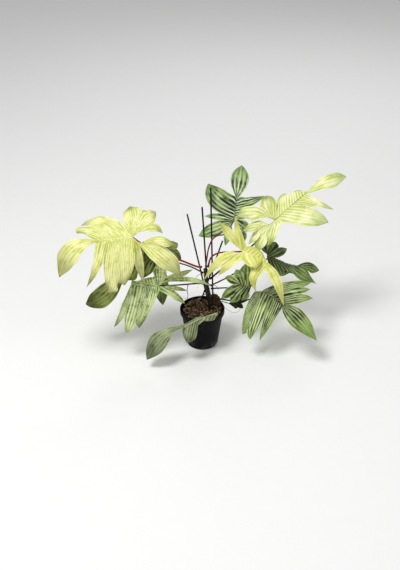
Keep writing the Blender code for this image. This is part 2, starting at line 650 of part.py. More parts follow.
def build_soil(parts, cutters):
    bark = plastic_or_plant_material("bark and coir mix", (0.018, 0.012, 0.007), 0.95)
    soil = turned("soil", soil_profile(), parts, bark)
    foot, above = np.array(STEM_ROUTE[0]) * CM, np.array(STEM_ROUTE[1]) * CM
    below = foot - np.array([0, 0, 0.001])
    cut(soil, rod_cutter("stem_cutter", below, above, STEM_RADIUS + 2 * GAP + 0.0006, cutters))
    for name, (through, top) in CANES.items():
        foot, top = cane_line(through, top)
        below = foot - unit(top - foot) * GAP
        end = foot + unit(top - foot) * 0.11
        cut(soil, rod_cutter(name + "_cutter", below, end, CANE_RADIUS + 2 * GAP, cutters))


def build_stem(parts):
    brown = plastic_or_plant_material("stem skin", (0.08, 0.06, 0.03), 0.7)
    route = smooth_route(STEM_ROUTE, 12) * CM
    nodes = 1 + 0.12 * np.cos(np.arange(12) * math.pi)
    tube("stem", route, STEM_RADIUS * nodes / nodes.max(), parts, brown, resolution=3)


def build_root_mass(parts):
    """A squat dome of matted roots that stands on the soil beside the stem."""
    fibre = plastic_or_plant_material("root fibre", (0.07, 0.045, 0.025), 0.9)
    foot = SOIL_TOP + SOIL_CROWN + GAP
    solid = bmesh.new()
    bmesh.ops.create_uvsphere(solid, u_segments=14, v_segments=10, radius=1.0)
    bmesh.ops.scale(solid, vec=ROOT_MASS_RADII, verts=solid.verts)
    cut_faces = bmesh.ops.bisect_plane(
        solid,
        geom=[*solid.verts, *solid.edges, *solid.faces],
        plane_co=(0, 0, 0.004),
        plane_no=(0, 0, 1),
        clear_inner=True,
    )
    rim = [item for item in cut_faces["geom_cut"] if isinstance(item, bmesh.types.BMEdge)]
    bmesh.ops.contextual_create(solid, geom=rim)
    bmesh.ops.recalc_face_normals(solid, faces=solid.faces)
    mesh = bpy.data.meshes.new("root_mass")
    solid.to_mesh(mesh)
    solid.free()
    mesh.shade_smooth()
    mesh.set_sharp_from_angle(angle=math.radians(50))
    mass = add_object("root_mass", mesh, parts, fibre)
    mass.location = (*ROOT_MASS_CENTRE, foot - 0.004)


def build_canes(parts):
    black = plastic_or_plant_material("painted cane", (0.012, 0.012, 0.012), 0.5)
    for name, (through, top) in CANES.items():
        foot, top = cane_line(through, top)
        tube(name, [foot, top], [CANE_RADIUS] * 2, parts, black)


def build_roots(parts):
    skin = plastic_or_plant_material("root skin", (0.13, 0.09, 0.05), 0.85)
    for name, (radius, points) in ROOTS.items():
        route = smooth_route(points, 10) * CM
        tube(name, route, radius * CM * np.linspace(1.0, 0.6, 10), parts, skin)


def build_leaves(parts):
    for name, leaf in LEAVES.items():
        green = plastic_or_plant_material("blade " + name, LEAF_COLOURS[name], 0.45)
        blade("blade_" + name, leaf, parts, green)
        radius, colour, points = STALKS[name]
        skin = plastic_or_plant_material("stalk " + name, colour, 0.5)
        stalk("stalk_" + name, leaf, radius, points, parts, skin)


def main():
    for obj in list(bpy.data.objects):
        bpy.data.objects.remove(obj, do_unlink=True)
    parts = bpy.data.collections.new("potted philodendron")
    cutters = bpy.data.collections.new("cutters")
    cutters.hide_render = True
    bpy.context.scene.collection.children.link(parts)
    bpy.context.scene.collection.children.link(cutters)
    build_pot(parts, cutters)
    build_soil(parts, cutters)
    build_stem(parts)
    build_root_mass(parts)
    build_canes(parts)
    build_roots(parts)
    build_leaves(parts)


main()
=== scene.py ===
"""Potted philodendron, the looks: one short stem in a black nursery pot, eleven lobed leaves and four canes.

Metres, +Z up, origin in the middle of the pot's flat base. Tables of the plant are in centimetres, times CM.
"""

from typing import NamedTuple

import bpy
import numpy as np
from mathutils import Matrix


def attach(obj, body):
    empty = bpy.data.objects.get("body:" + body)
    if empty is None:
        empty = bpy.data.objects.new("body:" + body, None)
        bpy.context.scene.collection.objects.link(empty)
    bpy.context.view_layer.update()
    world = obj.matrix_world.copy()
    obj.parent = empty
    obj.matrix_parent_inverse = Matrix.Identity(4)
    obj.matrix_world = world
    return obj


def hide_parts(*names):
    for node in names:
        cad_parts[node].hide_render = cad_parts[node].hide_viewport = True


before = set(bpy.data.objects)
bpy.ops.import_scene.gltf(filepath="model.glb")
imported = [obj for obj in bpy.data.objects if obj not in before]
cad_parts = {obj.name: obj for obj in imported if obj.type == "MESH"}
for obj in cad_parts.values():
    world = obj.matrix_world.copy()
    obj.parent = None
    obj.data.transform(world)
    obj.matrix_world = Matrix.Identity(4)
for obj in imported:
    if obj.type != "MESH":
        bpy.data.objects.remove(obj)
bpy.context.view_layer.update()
CM = 0.01


# ---------------------------------------------------------------------------------------------------------------
# Pot: a thin nursery pot of black polypropylene, injection moulded in one piece. The rolled lip stiffens the rim,
# and the foot ring holds the base just clear of the ground.

POT_SIDES = 144
POT_PROFILE = [  # (radius, height) in centimetres, from the middle of the floor up the inside and down the outside
    (0, 0.24), (2.4, 0.24), (3.3, 0.24), (3.6, 0.26), (3.78, 0.38), (3.9, 0.62), (4.6, 4.4), (5.36, 9.35), (5.42, 9.5),
    (5.62, 9.66), (5.7, 9.85), (5.8, 10.78), (5.84, 10.9), (5.9, 10.97), (5.96, 10.95), (6.0, 10.86), (5.99, 10.7),
    (5.98, 9.86), (5.95, 9.7), (5.86, 9.62), (5.66, 9.58), (5.58, 9.5), (5.55, 9.35), (4.82, 4.4), (4.32, 1.0),
    (4.28, 0.86), (4.33, 0.78), (4.33, 0.62), (4.25, 0.54), (4.18, 0.4), (4.1, 0.14), (4.0, 0.03), (3.9, 0.0),
    (3.6, 0.0), (3.54, 0.06), (3.4, 0.1), (2.6, 0.1), (1.2, 0.1), (1.1, 0.03), (0.9, 0.0), (0, 0),
]


def srgb(red, green, blue):
    """A colour given as on a paint chart, 0 to 255, as the linear colour that shaders use."""
    shown = np.array([red, green, blue]) / 255
    return tuple(np.where(shown > 0.04045, ((shown + 0.055) / 1.055) ** 2.4, shown / 12.92))


class Socket:
    """A value inside a material. Python's operators add the Math nodes that they stand for."""

    def __init__(self, tree, output):
        self.tree = tree
        self.output = output

    def node(self, kind, settings=None, inputs=None, output=0):
        """Adds any node: its type, its settings, then numbers or sockets for its inputs, by name or by place."""
        made = self.tree.nodes.new("ShaderNode" + kind)
        for name, value in (settings or {}).items():
            setattr(made, name, value)
        for name, value in (inputs or {}).items():
            if isinstance(value, Socket):
                self.tree.links.new(value.output, made.inputs[name])
            else:
                made.inputs[name].default_value = value
        return Socket(self.tree, made.outputs[output])

    def math(self, operation, *values):
        """A Math node over these values, which are numbers or sockets."""
        return self.node("Math", {"operation": operation}, dict(enumerate(values)))

    def __add__(self, other):
        return self.math("ADD", self, other)

    def __sub__(self, other):
        return self.math("SUBTRACT", self, other)

    def __rsub__(self, other):
        return self.math("SUBTRACT", other, self)

    def __mul__(self, other):
        return self.math("MULTIPLY", self, other)

    __radd__ = __add__
    __rmul__ = __mul__

    def size(self):
        """This value without its sign."""
        return self.math("ABSOLUTE", self)

    def capped(self):
        """This value, or 1 where it is more."""
        return self.math("MINIMUM", self, 1.0)

    def ripple(self):
        """A cosine that is 1 at whole numbers and 0 halfway between them."""
        turn = self * (2 * np.pi)
        return turn.math("COSINE", turn) * 0.5 + 0.5

    def rise(self, start, end):
        """0 below start and 1 above end, with an eased step between."""
        return self.node("MapRange", {"interpolation_type": "SMOOTHSTEP"}, {0: self, 1: start, 2: end})

    def blend(self, first, second):
        """From the first colour to the second as this value goes from 0 to 1."""
        colours = [c if isinstance(c, Socket) else (*c, 1.0) for c in (first, second)]
        return self.node("Mix", {"data_type": "RGBA"}, {0: self, 6: colours[0], 7: colours[1]}, output=2)

    def noise(self, scale, detail=3.0, roughness=0.55):
        """Soft noise from 0 to 1, read at this vector."""
        return self.node("TexNoise", None, {0: self, "Scale": scale, "Detail": detail, "Roughness": roughness})

    def stretched(self, x, y, z):
        """This vector with each of its parts scaled."""
        return self.node("VectorMath", {"operation": "MULTIPLY"}, {0: self, 1: (x, y, z)})

    def part(self, axis):
        """One of this vector's three parts, 0, 1 or 2."""
        return self.node("SeparateXYZ", None, {0: self}, output=axis)


class Finish:
    """One material: a Principled shader, with what varies over the surface wired to its sockets."""

    def __init__(self, name, **constants):
        self.material = bpy.data.materials.new(name)
        self.material.use_nodes = True
        self.tree = self.material.node_tree
        self.shader = self.tree.nodes["Principled BSDF"]
        for socket, value in constants.items():
            self.shader.inputs[socket.replace("_", " ")].default_value = value
        self.start = Socket(self.tree, None)
        self.place = self.start.node("TexCoord", output=3)

    def attribute(self, name, output=2):
        """What a mesh attribute holds: a number, or with output 1 a vector."""
        return self.start.node("Attribute", {"attribute_name": name}, output=output)

    def wire(self, colour, roughness, height=None, depth=0.001):
        """Wires the colour, the roughness and a height in units of depth, in metres."""
        self.tree.links.new(colour.output, self.shader.inputs["Base Color"])
        self.tree.links.new(roughness.output, self.shader.inputs["Roughness"])
        if height is not None:
            bump = self.start.node("Bump", None, {"Height": height, "Distance": depth, "Strength": 1.0})
            self.tree.links.new(bump.output, self.shader.inputs["Normal"])
        return self.material


def piece(name, points, faces, materials, replaces=(), attributes=None, smooth=True):
    """Makes one finished piece from points in metres, in place, and hangs it on the plant's one body."""
    mesh = bpy.data.meshes.new(name)
    mesh.from_pydata(points.tolist(), [], faces)
    for label, values in (attributes or {}).items():
        vector = values.ndim == 2
        layer = mesh.attributes.new(label, "FLOAT_VECTOR" if vector else "FLOAT", "POINT")
        layer.data.foreach_set("vector" if vector else "value", values.astype(np.float32).ravel())
    if smooth:
        mesh.shade_smooth()
    for material in materials:
        mesh.materials.append(material)
    made = bpy.data.objects.new(name, mesh)
    bpy.context.scene.collection.objects.link(made)
    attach(made, "root")
    if replaces:
        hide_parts(*replaces)
    return made


def rings(sections):
    """Closed skins over rings of points: sections has the shape (skins, rings, sides, 3). Each skin's first and
    last rings are closed with a fan round their middle point."""
    skins, count, sides = sections.shape[:3]
    middles = sections[:, [0, -1]].mean(axis=2)
    size = count * sides + 2
    points = np.concatenate([sections.reshape(skins, -1, 3), middles], axis=1).reshape(-1, 3)
    ring, side = np.meshgrid(np.arange(count - 1), np.arange(sides), indexing="ij")
    after = (side + 1) % sides
    quads = np.stack(
        [ring * sides + side, ring * sides + after, (ring + 1) * sides + after, (ring + 1) * sides + side], axis=-1
    ).reshape(-1, 4)
    around, beyond = np.arange(sides), (np.arange(sides) + 1) % sides
    foot = np.stack([np.full(sides, count * sides), beyond, around], axis=-1)
    last = (count - 1) * sides
    top = np.stack([np.full(sides, count * sides + 1), last + around, last + beyond], axis=-1)
    offsets = (np.arange(skins) * size)[:, None, None]
    faces = (quads + offsets).reshape(-1, 4).tolist()
    faces += (np.concatenate([foot, top]) + offsets).reshape(-1, 3).tolist()
    return points, faces


def turned(profile, sides):
    """Rings round Z, one for each (radius, height) of the profile: (radius cos a, radius sin a, height), with a
    running clockwise, so that a profile that comes down the outside faces outwards."""
    profile = np.array(profile, float)
    angle = -np.linspace(0, 2 * np.pi, sides, endpoint=False)
    radius, height = profile[:, :1], profile[:, 1:]
    return np.stack([radius * np.cos(angle), radius * np.sin(angle), height + 0 * angle], axis=-1)


def moulded_black():
    """Black moulded plastic: a faint mottle, fine vertical scuffs, pale dust low down and a painted highlight on the
    lip's top edge.
    """
    finish = Finish("moulded black plastic", Specular_IOR_Level=0.06)
    scuffs = finish.place.stretched(300, 300, 14).noise(1.0, 4.0)
    mottle = finish.place.noise(38, 5.0, 0.6)
    height = finish.place.part(2)
    dust = (1 - height.rise(0.0, 0.035)) * mottle.rise(0.42, 0.75)
    # Painted highlight: a pale band along the top of the lip, where the light catches the rim.
    lip = height.rise(0.1075, 0.1095) * mottle.rise(0.4, 0.7)
    base = mottle.blend(srgb(10, 10, 12), srgb(24, 24, 28))
    # This mixes real dust and scuffs with the lip's painted highlight.
    worn = (0.5 * dust + 0.45 * lip + 0.12 * scuffs.rise(0.6, 0.8)).blend(base, srgb(118, 112, 104))
    return finish.wire(worn, 0.34 + 0.22 * scuffs + 0.2 * dust, scuffs + mottle, 0.0002)


black_plastic = moulded_black()
points, faces = rings(turned(POT_PROFILE, POT_SIDES)[None] * CM)
piece("nursery_pot", points, faces, [black_plastic], ["pot"])


# ---------------------------------------------------------------------------------------------------------------
# Potting mix: damp coir and fine bark that settles to a rough crown, with loose bark chips and a few pale grains
# of perlite lying on it.

SOIL_SIDES = 120
SOIL_EDGE = 5.5
SOIL_LEVEL = 10.45
HEAP_PLACE, HEAP_HEIGHT, HEAP_SPREAD = (-0.6, 2.2), 0.75, 7  # spread in square centimetres
SWELL_HEIGHT, WALL_DROP = 0.42, 0.35
SOIL_UNDERSIDE = np.array([(5.3, 9.0), (3.9, 0.9), (3.6, 0.35), (0.5, 0.35)])  # (radius, height), down the pot's wall
CHIPS, CHIP_REACH = 460, 4.85
CHIP_SIDES = (0.14, 0.08, 0.03), (0.62, 0.28, 0.11)  # least and most half length, width and thickness
GRAINS, GRAIN_REACH = 110, 4.9
GRAIN_SIDES = (0.04, 0.04, 0.04), (0.09, 0.09, 0.08)
draw = np.random.default_rng(7)


def swell(x, y, waves, seed):
    """Uneven ground from 0 up to about 1: the mean of sine waves in seeded directions, of rising frequency."""
    pick = np.random.default_rng(seed)
    total = 0
    for number in range(waves):
        angle, phase = pick.uniform(0, 2 * np.pi, 2)
        along = x * np.cos(angle) + y * np.sin(angle)
        total = total + np.sin(along * (0.9 + 0.55 * number) + phase) / (1 + 0.3 * number)
    return 0.5 + total / waves


def soil_height(x, y):
    """Top of the mix in centimetres: a crown heaped towards the back, with swells, that falls off at the wall."""
    heap = HEAP_HEIGHT * np.exp(-((x - HEAP_PLACE[0]) ** 2 + (y - HEAP_PLACE[1]) ** 2) / HEAP_SPREAD)
    swells = SWELL_HEIGHT * (swell(x, y, 9, 3) - 0.5)
    return SOIL_LEVEL + heap + swells - WALL_DROP * (np.hypot(x, y) / SOIL_EDGE) ** 8


def mix_finish(name, dark, light, pale):
    """Damp bark and coir: dark crumbs with brown faces and a few straw-coloured threads."""
    finish = Finish(name, Specular_IOR_Level=0.12)
    crumbs = finish.place.noise(420, 6.0, 0.7)
    lumps = finish.place.noise(110, 3.0)
    threads = finish.place.stretched(90, 420, 90).noise(1.0, 2.0).rise(0.66, 0.72)
    tone = finish.attribute("tone")
    base = (crumbs * 0.6 + lumps * 0.5 - 0.25 + tone * 0.9).rise(0.45, 1.3).blend(dark, light)
    colour = (threads * 0.5).blend(base, pale)
    return finish.wire(colour, 0.7 + 0.25 * crumbs, crumbs + lumps, 0.0012)


radii = np.concatenate([np.linspace(0.06, SOIL_EDGE, 56), SOIL_UNDERSIDE[:, 0]])
angle = -np.linspace(0, 2 * np.pi, SOIL_SIDES, endpoint=False)
x, y = radii[:, None] * np.cos(angle), radii[:, None] * np.sin(angle)
z = soil_height(x, y)
z[-len(SOIL_UNDERSIDE) :] = SOIL_UNDERSIDE[:, 1:]
points, faces = rings(np.stack([x, y, z], axis=-1)[None] * CM)
coir = mix_finish("damp coir", srgb(14, 10, 8), srgb(52, 38, 28), srgb(150, 124, 92))
piece("potting_mix", points, faces, [coir], ["soil"], {"tone": np.zeros(len(points))})


def block_template():
    """Points and faces of a cube of side 2 with each face cut in four, rounded a little at its corners."""
    steps = np.array([-1, 0, 1])
    grid = np.stack(np.meshgrid(steps, steps, steps, indexing="ij"), axis=-1).reshape(-1, 3)
    number = {tuple(point): place for place, point in enumerate(grid)}
    faces = []
    for axis in range(3):
        for side in (-1, 1):
            for i in (-1, 0):
                for j in (-1, 0):
                    corners = []
                    for a, b in ((i, j), (i + 1, j), (i + 1, j + 1), (i, j + 1)):
                        point = [0, 0, 0]
                        point[axis], point[(axis + 1) % 3], point[(axis + 2) % 3] = side, a, b
                        corners.append(number[tuple(point)])
                    faces.append(corners if side > 0 else corners[::-1])
    used = sorted({corner for face in faces for corner in face})
    place = {old: new for new, old in enumerate(used)}
    shape = grid[used] * 1.0
    shape *= (1.25 / np.linalg.norm(shape, axis=1, keepdims=True)) ** 0.35
    return shape, np.array([[place[corner] for corner in face] for face in faces])


def turns(count, pick, lean):
    """Rotation matrices: any turn about Z after a tip of up to lean radians about a level axis."""
    spin = pick.uniform(0, 2 * np.pi, count)
    tip = pick.uniform(-lean, lean, count)
    heading = pick.uniform(0, 2 * np.pi, count)
    axis = np.stack([np.cos(heading), np.sin(heading), 0 * heading], axis=-1)
    cross = np.zeros((count, 3, 3))
    cross[:, 0, 1], cross[:, 0, 2], cross[:, 1, 2] = -axis[:, 2], axis[:, 1], -axis[:, 0]
    cross -= cross.transpose(0, 2, 1)
    tipped = np.eye(3) + np.sin(tip)[:, None, None] * cross + (1 - np.cos(tip))[:, None, None] * cross @ cross
    level = np.zeros((count, 3, 3))
    level[:, 0, 0] = level[:, 1, 1] = np.cos(spin)
    level[:, 1, 0], level[:, 0, 1], level[:, 2, 2] = np.sin(spin), -np.sin(spin), 1
    return tipped @ level


def scattered(count, half_sides, lift, lean, pick, reach):
    """Blocks of random half sides, between the least and the most, lying on the mix within reach of the pot's
    axis: each is a ragged copy of the block, turned, then moved to the mix's height there plus the lift."""
    shape, template = block_template()
    half = pick.uniform(*half_sides, (count, 3))
    ragged = shape[None] * (1 + pick.normal(0, 0.16, (count, len(shape), 3)))
    blocks = np.einsum("nij,npj->npi", turns(count, pick, lean), ragged * half[:, None, :])
    radius, around = reach * np.sqrt(pick.uniform(0, 1, count)), pick.uniform(0, 2 * np.pi, count)
    x, y = radius * np.cos(around), radius * np.sin(around)
    blocks += np.stack([x, y, soil_height(x, y) + lift], axis=-1)[:, None, :]
    faces = (template[None] + (np.arange(count) * len(shape))[:, None, None]).reshape(-1, 4).tolist()
    tone = np.repeat(pick.uniform(0, 1, count), len(shape))
    return blocks.reshape(-1, 3) * CM, faces, tone


bark = mix_finish("bark chips", srgb(8, 6, 5), srgb(178, 144, 114), srgb(240, 216, 182))
points, faces, tone = scattered(CHIPS, CHIP_SIDES, 0.05, 0.7, draw, CHIP_REACH)
piece("bark_chips", points, faces, [bark], (), {"tone": tone}, smooth=False)
perlite = mix_finish("perlite grains", srgb(120, 100, 80), srgb(196, 184, 164), srgb(225, 216, 200))
points, faces, tone = scattered(GRAINS, GRAIN_SIDES, 0.04, 1.5, draw, GRAIN_REACH)
piece("perlite", points, faces, [perlite], (), {"tone": tone})


# ---------------------------------------------------------------------------------------------------------------
# Stem: one short climbing stem, thick as a finger, with a ringed leaf scar where each old leaf fell. It is rooted
# in the mix and the stalks leave it on all sides.

STEM_ROUTE = [(2, 0.2, 8.5), (2.1, 0.15, 12.5), (1.7, 0.3, 15.2), (1.2, 0.5, 18), (0.8, 0.5, 23.2)]
STEM_RADIUS = 0.62
STEM_TOP = 23.28
SCARS = np.array([10.8, 12.2, 13.8, 15.3, 16.9, 18.4, 19.8, 21.1, 22.2, 23.1])  # heights of the leaf scars


def unit(vectors):
    """The vectors at length 1."""
    return vectors / np.linalg.norm(vectors, axis=-1, keepdims=True)


def smooth_route(points, count):
    """Catmull-Rom curve through the points, as count points at even steps of its length."""
    points = np.array(points, float)
    ends = np.vstack([2 * points[0] - points[1], points, 2 * points[-1] - points[-2]])
    t = np.linspace(0, 1, 48, endpoint=False)[None, :, None]
    before, start, end, after = (ends[n : len(points) - 1 + n, None] for n in range(4))
    bend = (2 * before - 5 * start + 4 * end - after) * t**2 + (3 * start - before - 3 * end + after) * t**3
    fine = np.vstack([((2 * start + (end - before) * t + bend) / 2).reshape(-1, 3), points[-1:]])
    steps = np.concatenate([[0], np.cumsum(np.linalg.norm(np.diff(fine, axis=0), axis=1))])
    places = np.linspace(0, steps[-1], count)
    return np.column_stack([np.interp(places, steps, fine[:, axis]) for axis in range(3)])


def tubes(routes, radii, sides, groove=0.0):
    """Round tubes along routes of shape (tubes, points, 3). Each ring lies across the route, turned from the
    direction that the whole route strays least in, and groove hollows its upper side."""
    along = unit(np.gradient(routes, axis=1))
    spread = routes - routes.mean(axis=1, keepdims=True)
    flattest = np.linalg.svd(spread, full_matrices=False)[2][:, 2][:, None]
    side = unit(np.cross(along, flattest + 1e-6))
    other = np.cross(along, side)
    angle = np.linspace(0, 2 * np.pi, sides, endpoint=False)
    ring = side[:, :, None] * np.cos(angle)[:, None] + other[:, :, None] * np.sin(angle)[:, None]
    reach = radii[..., None] * (1 - groove * np.clip(ring[..., 2], 0, 1) ** 6)
    return routes[:, :, None] + ring * reach[..., None]


def skin_finish(name, dark, light, warm, grain=(160, 160, 30), rough=0.6, depth=0.0006):
    """Plant skin: streaks along it, patches of a warmer colour and fine corky dots."""
    finish = Finish(name, Specular_IOR_Level=0.2)
    streaks = finish.place.stretched(*grain).noise(1.0, 4.0)
    patches = finish.place.noise(55, 3.0)
    dots = finish.place.noise(600, 2.0).rise(0.62, 0.7)
    ring = finish.attribute("ring")
    base = (streaks * 0.7 + patches * 0.5 - 0.1).rise(0.15, 0.85).blend(dark, light)
    colour = (0.55 * patches.rise(0.5, 0.75) + 0.35 * dots).blend(base, warm)
    colour = (ring * 0.75).blend(colour, dark)
    return finish.wire(colour, rough + 0.2 * streaks - 0.1 * dots, streaks + 0.5 * dots, depth)


route = smooth_route(STEM_ROUTE, 170)
above_scar = route[:, 2, None] - SCARS
scars = np.exp(-((above_scar / 0.09) ** 2)).sum(axis=1)
knots = np.exp(-(((above_scar + 0.22) / 0.3) ** 2)).sum(axis=1)
taper = np.sqrt(np.clip((STEM_TOP - route[:, 2]) / 0.5, 0.02, 1))
radii = STEM_RADIUS * (0.86 + 0.14 * knots - 0.05 * scars) * taper
points, faces = rings(tubes(route[None], radii[None], 28) * CM)
lumps = swell(points[:, 0] * 400 + points[:, 1] * 300, points[:, 2] * 420, 8, 5)
axis_x, axis_y, ring_mark = (
    np.interp(points[:, 2] / CM, route[:, 2], values) for values in (route[:, 0], route[:, 1], np.clip(scars, 0, 1))
)
centre = np.stack([axis_x * CM, axis_y * CM, points[:, 2]], axis=-1)
points = centre + (points - centre) * (0.93 + 0.1 * lumps)[:, None]
stem_skin = skin_finish("stem skin", srgb(20, 16, 12), srgb(82, 72, 48), srgb(66, 48, 32), (240, 240, 60), 0.6)
piece("main_stem", points, faces, [stem_skin], ["stem"], {"ring": ring_mark})


# ---------------------------------------------------------------------------------------------------------------
# Roots: thin woody aerial roots that leave the stem, a dry one that hangs at the left, a thick one lying on the
# mix, a matted hump of them at the back right, and thread-thin feeders round the stem and over the rim.

ROOTS = {
    "aerial_root_upper": (0.08, [(0.3, 0.2, 21.5), (-0.7, -0.5, 21.9), (-1.6, -0.9, 21.3), (-1.9, -1.1, 20.4)]),
    "aerial_root_left": (
        0.1,
        [(1.4, 0.1, 15.5), (-0.2, -0.9, 15.4), (-1.1, -1.2, 14), (-0.9, -1.4, 12.2), (-0.7, -1.5, 10.7)],
    ),
    "aerial_root_right": (0.09, [(1.4, 0.2, 18.4), (2.9, -0.9, 18.9), (3.9, -1.3, 18.4), (4.4, -1.2, 17.5)]),
    "hanging_root": (0.11, [(-3.8, -1.25, 19), (-4, -1.4, 17.4), (-3.8, -1.5, 16), (-4.1, -1.5, 14.6)]),
    "surface_root": (0.24, [(-2.6, 0.9, 10.6), (-1.4, 1.5, 11.0), (-0.2, 1.2, 11.0), (1.6, 0.3, 10.8)]),
}
FEEDERS = [  # thin bare roots with no solid of their own: radius and route
    (0.035, [(1.6, 0, 20.3), (0.5, -0.9, 20.6), (-0.4, -1.3, 19.9), (-1.2, -1.2, 20.3), (-1.9, -1.5, 19.5)]),
    (0.03, [(1.3, 0.3, 19.2), (0.2, -0.6, 19.6), (-0.9, -0.6, 18.7), (-1.5, -0.9, 17.6)]),
    (0.035, [(1.8, -0.1, 16.5), (2.9, -1.2, 16.9), (3.5, -1.4, 16.0), (3.2, -1.5, 14.8), (3.6, -1.3, 13.6)]),
    (0.03, [(1.3, 0.2, 20.9), (2.2, -0.7, 21.7), (3.0, -1.0, 21.2), (3.6, -1.3, 21.9), (4.2, -1.4, 21.3)]),
    (
        0.045,
        [(2.6, 0.2, 11.2), (4.6, -0.2, 11.6), (5.9, -0.6, 11.5), (7.5, -1.2, 10.6), (9.3, -1.0, 10.2), (10.6, 0, 11.3)],
    ),
    (
        0.05,
        [(1.2, -2.6, 10.6), (0.8, -5.2, 11.0), (0.6, -6.25, 10.6), (0.2, -6.2, 9.2), (-0.6, -5.95, 8.2),
         (-1.2, -5.9, 8.6)],
    ),
    (0.03, [(-3.6, 2.6, 10.6), (-4.6, 2.9, 12.1), (-5.6, 2.6, 12.4), (-6.4, 2.2, 11.9)]),
]
MAT_CENTRE = np.array([3.3, 2.3, 10.5])
MAT_RADII = np.array([1.65, 1.7, 2.9])
MAT_FLOOR = 10.2
MAT_FIBRES, CROWN_FIBRES = 300, 160
CROWN_REACH = 4.9
FIBRE_RINGS, FIBRE_SIDES = 14, 5
ROOT_RINGS, FEEDER_RINGS = 44, 60


def root_radii(radius, count):
    """Thins to its tip, which is rounded, with shallow swellings on the way."""
    t = np.linspace(0, 1, count)
    return radius * (1 - 0.45 * t) * (1 + 0.12 * np.sin(t * 31)) * np.sqrt(np.clip((1 - t) * 30, 0.01, 1))


root_skin = skin_finish("dry root skin", srgb(64, 46, 30), srgb(142, 112, 78), srgb(120, 84, 52), (300, 300, 50), 0.75)
thread_skin = skin_finish("root threads", srgb(62, 44, 28), srgb(150, 118, 80), srgb(176, 148, 108), (90, 90, 90), 0.85)
dark_skin = skin_finish("thin root skin", srgb(30, 22, 16), srgb(84, 62, 44), srgb(70, 48, 32), (300, 300, 50), 0.7)
for name, (radius, route_points) in ROOTS.items():
    route = smooth_route(route_points, ROOT_RINGS)
    points, faces = rings(tubes(route[None], root_radii(radius, ROOT_RINGS)[None], 12) * CM)
    skin = thread_skin if name == "hanging_root" else root_skin
    piece(name + "_skin", points, faces, [skin], [name], {"ring": np.zeros(len(points))})
for number, (radius, route_points) in enumerate(FEEDERS, 1):
    route = smooth_route(route_points, FEEDER_RINGS)
    t = np.linspace(0, 1, FEEDER_RINGS)
    route[:, 2] += 0.05 * np.sin(19 * t) * t
    points, faces = rings(tubes(route[None], root_radii(radius, FEEDER_RINGS)[None], 8) * CM)
    piece(f"feeder_root_{number}", points, faces, [dark_skin], (), {"ring": np.zeros(len(points))})



def on_dome(up, around):
    """Points of a dome of radius 1: (sin up cos around, sin up sin around, cos up), with up from its top."""
    return np.stack([np.sin(up) * np.cos(around), np.sin(up) * np.sin(around), np.cos(up) + 0 * around], axis=-1)


def fibres(name, routes, least, most):
    """One piece of thread-thin tubes along the routes, each with a radius between the least and the most."""
    thin = np.full(routes.shape[:2], 1.0) * draw.uniform(least, most, (len(routes), 1))
    points, faces = rings(tubes(routes, thin, FIBRE_SIDES) * CM)
    piece(name, points, faces, [thread_skin], (), {"ring": np.zeros(len(points))})


dome = on_dome(np.linspace(0.02, np.pi / 2, 26)[:, None], -np.linspace(0, 2 * np.pi, 48, endpoint=False))
lumps = 0.78 + 0.3 * swell(dome[..., 0] * 6 + dome[..., 2] * 4, dome[..., 1] * 6, 9, 12)
mat = MAT_CENTRE + dome * lumps[..., None] * MAT_RADII
mat = np.concatenate([mat, mat[-1:] * [1, 1, 0] + [0, 0, MAT_FLOOR]])
points, faces = rings(mat[None] * CM)
coat = skin_finish("matted roots", srgb(40, 28, 18), srgb(110, 84, 58), srgb(128, 98, 66), (260, 260, 260), 0.9, 0.0015)
piece("root_mat", points, faces, [coat], ["root_mass"], {"ring": np.zeros(len(points))})

t = np.linspace(0, 1, FIBRE_RINGS)
start, sweep = draw.uniform(0, 2 * np.pi, (2, MAT_FIBRES, 1))
height, climb = draw.uniform(0.1, 1.35, (MAT_FIBRES, 1)), draw.uniform(-0.9, 0.9, (MAT_FIBRES, 1))
around = start + (sweep - np.pi) * 0.45 * t
up = np.clip(height + climb * t + 0.12 * np.sin(9 * t + start), 0.05, 1.62)
stand = 0.98 + 0.12 * np.sin(7 * t + sweep) + draw.uniform(-0.05, 0.08, (MAT_FIBRES, 1))
fibres("mat_fibres", MAT_CENTRE + on_dome(up, around) * stand[..., None] * MAT_RADII, 0.018, 0.045)

heading, reach = draw.uniform(0, 2 * np.pi, (2, CROWN_FIBRES, 1))
radius = CROWN_REACH * np.sqrt(reach / (2 * np.pi))
bend = heading + 2.2 * (t - 0.5) * draw.uniform(-1, 1, (CROWN_FIBRES, 1))
length = draw.uniform(0.6, 2.2, (CROWN_FIBRES, 1)) * (t - 0.5)
x = radius * np.cos(reach * 5) + length * np.cos(bend)
y = radius * np.sin(reach * 5) + length * np.sin(bend)
inside = np.minimum(1, (CROWN_REACH + 0.2) / np.maximum(np.hypot(x, y), 1e-6))
x, y = x * inside, y * inside
z = soil_height(x, y) + 0.1 + draw.uniform(0.0, 0.35, (CROWN_FIBRES, 1)) * np.sin(np.pi * t)
fibres("crown_fibres", np.stack([x, y, z], axis=-1), 0.012, 0.04)


# ---------------------------------------------------------------------------------------------------------------
# Canes: round split-bamboo plant stakes stained black, pushed into the mix to hold the heavy stalks.

CANES = {  # a point above the mix that the cane passes through, and its top
    "cane_left": ((-0.1, 2, 19.8), (-3.9, 3, 37.8)),
    "cane_middle": ((0.9, -1.3, 26), (-0.1, -1.3, 42.1)),
    "cane_tall": ((2.9, -0.8, 10.4), (2.05, 2.2, 45.7)),
    "cane_rear": ((-0.7, 2.6, 10.4), (5.3, 4.7, 29)),
}
CANE_RADIUS = 0.22
CANE_FOOT = 2.5
CANE_NODES = np.array([0.31, 0.6, 0.86])  # places of the bamboo's nodes, as parts of the length


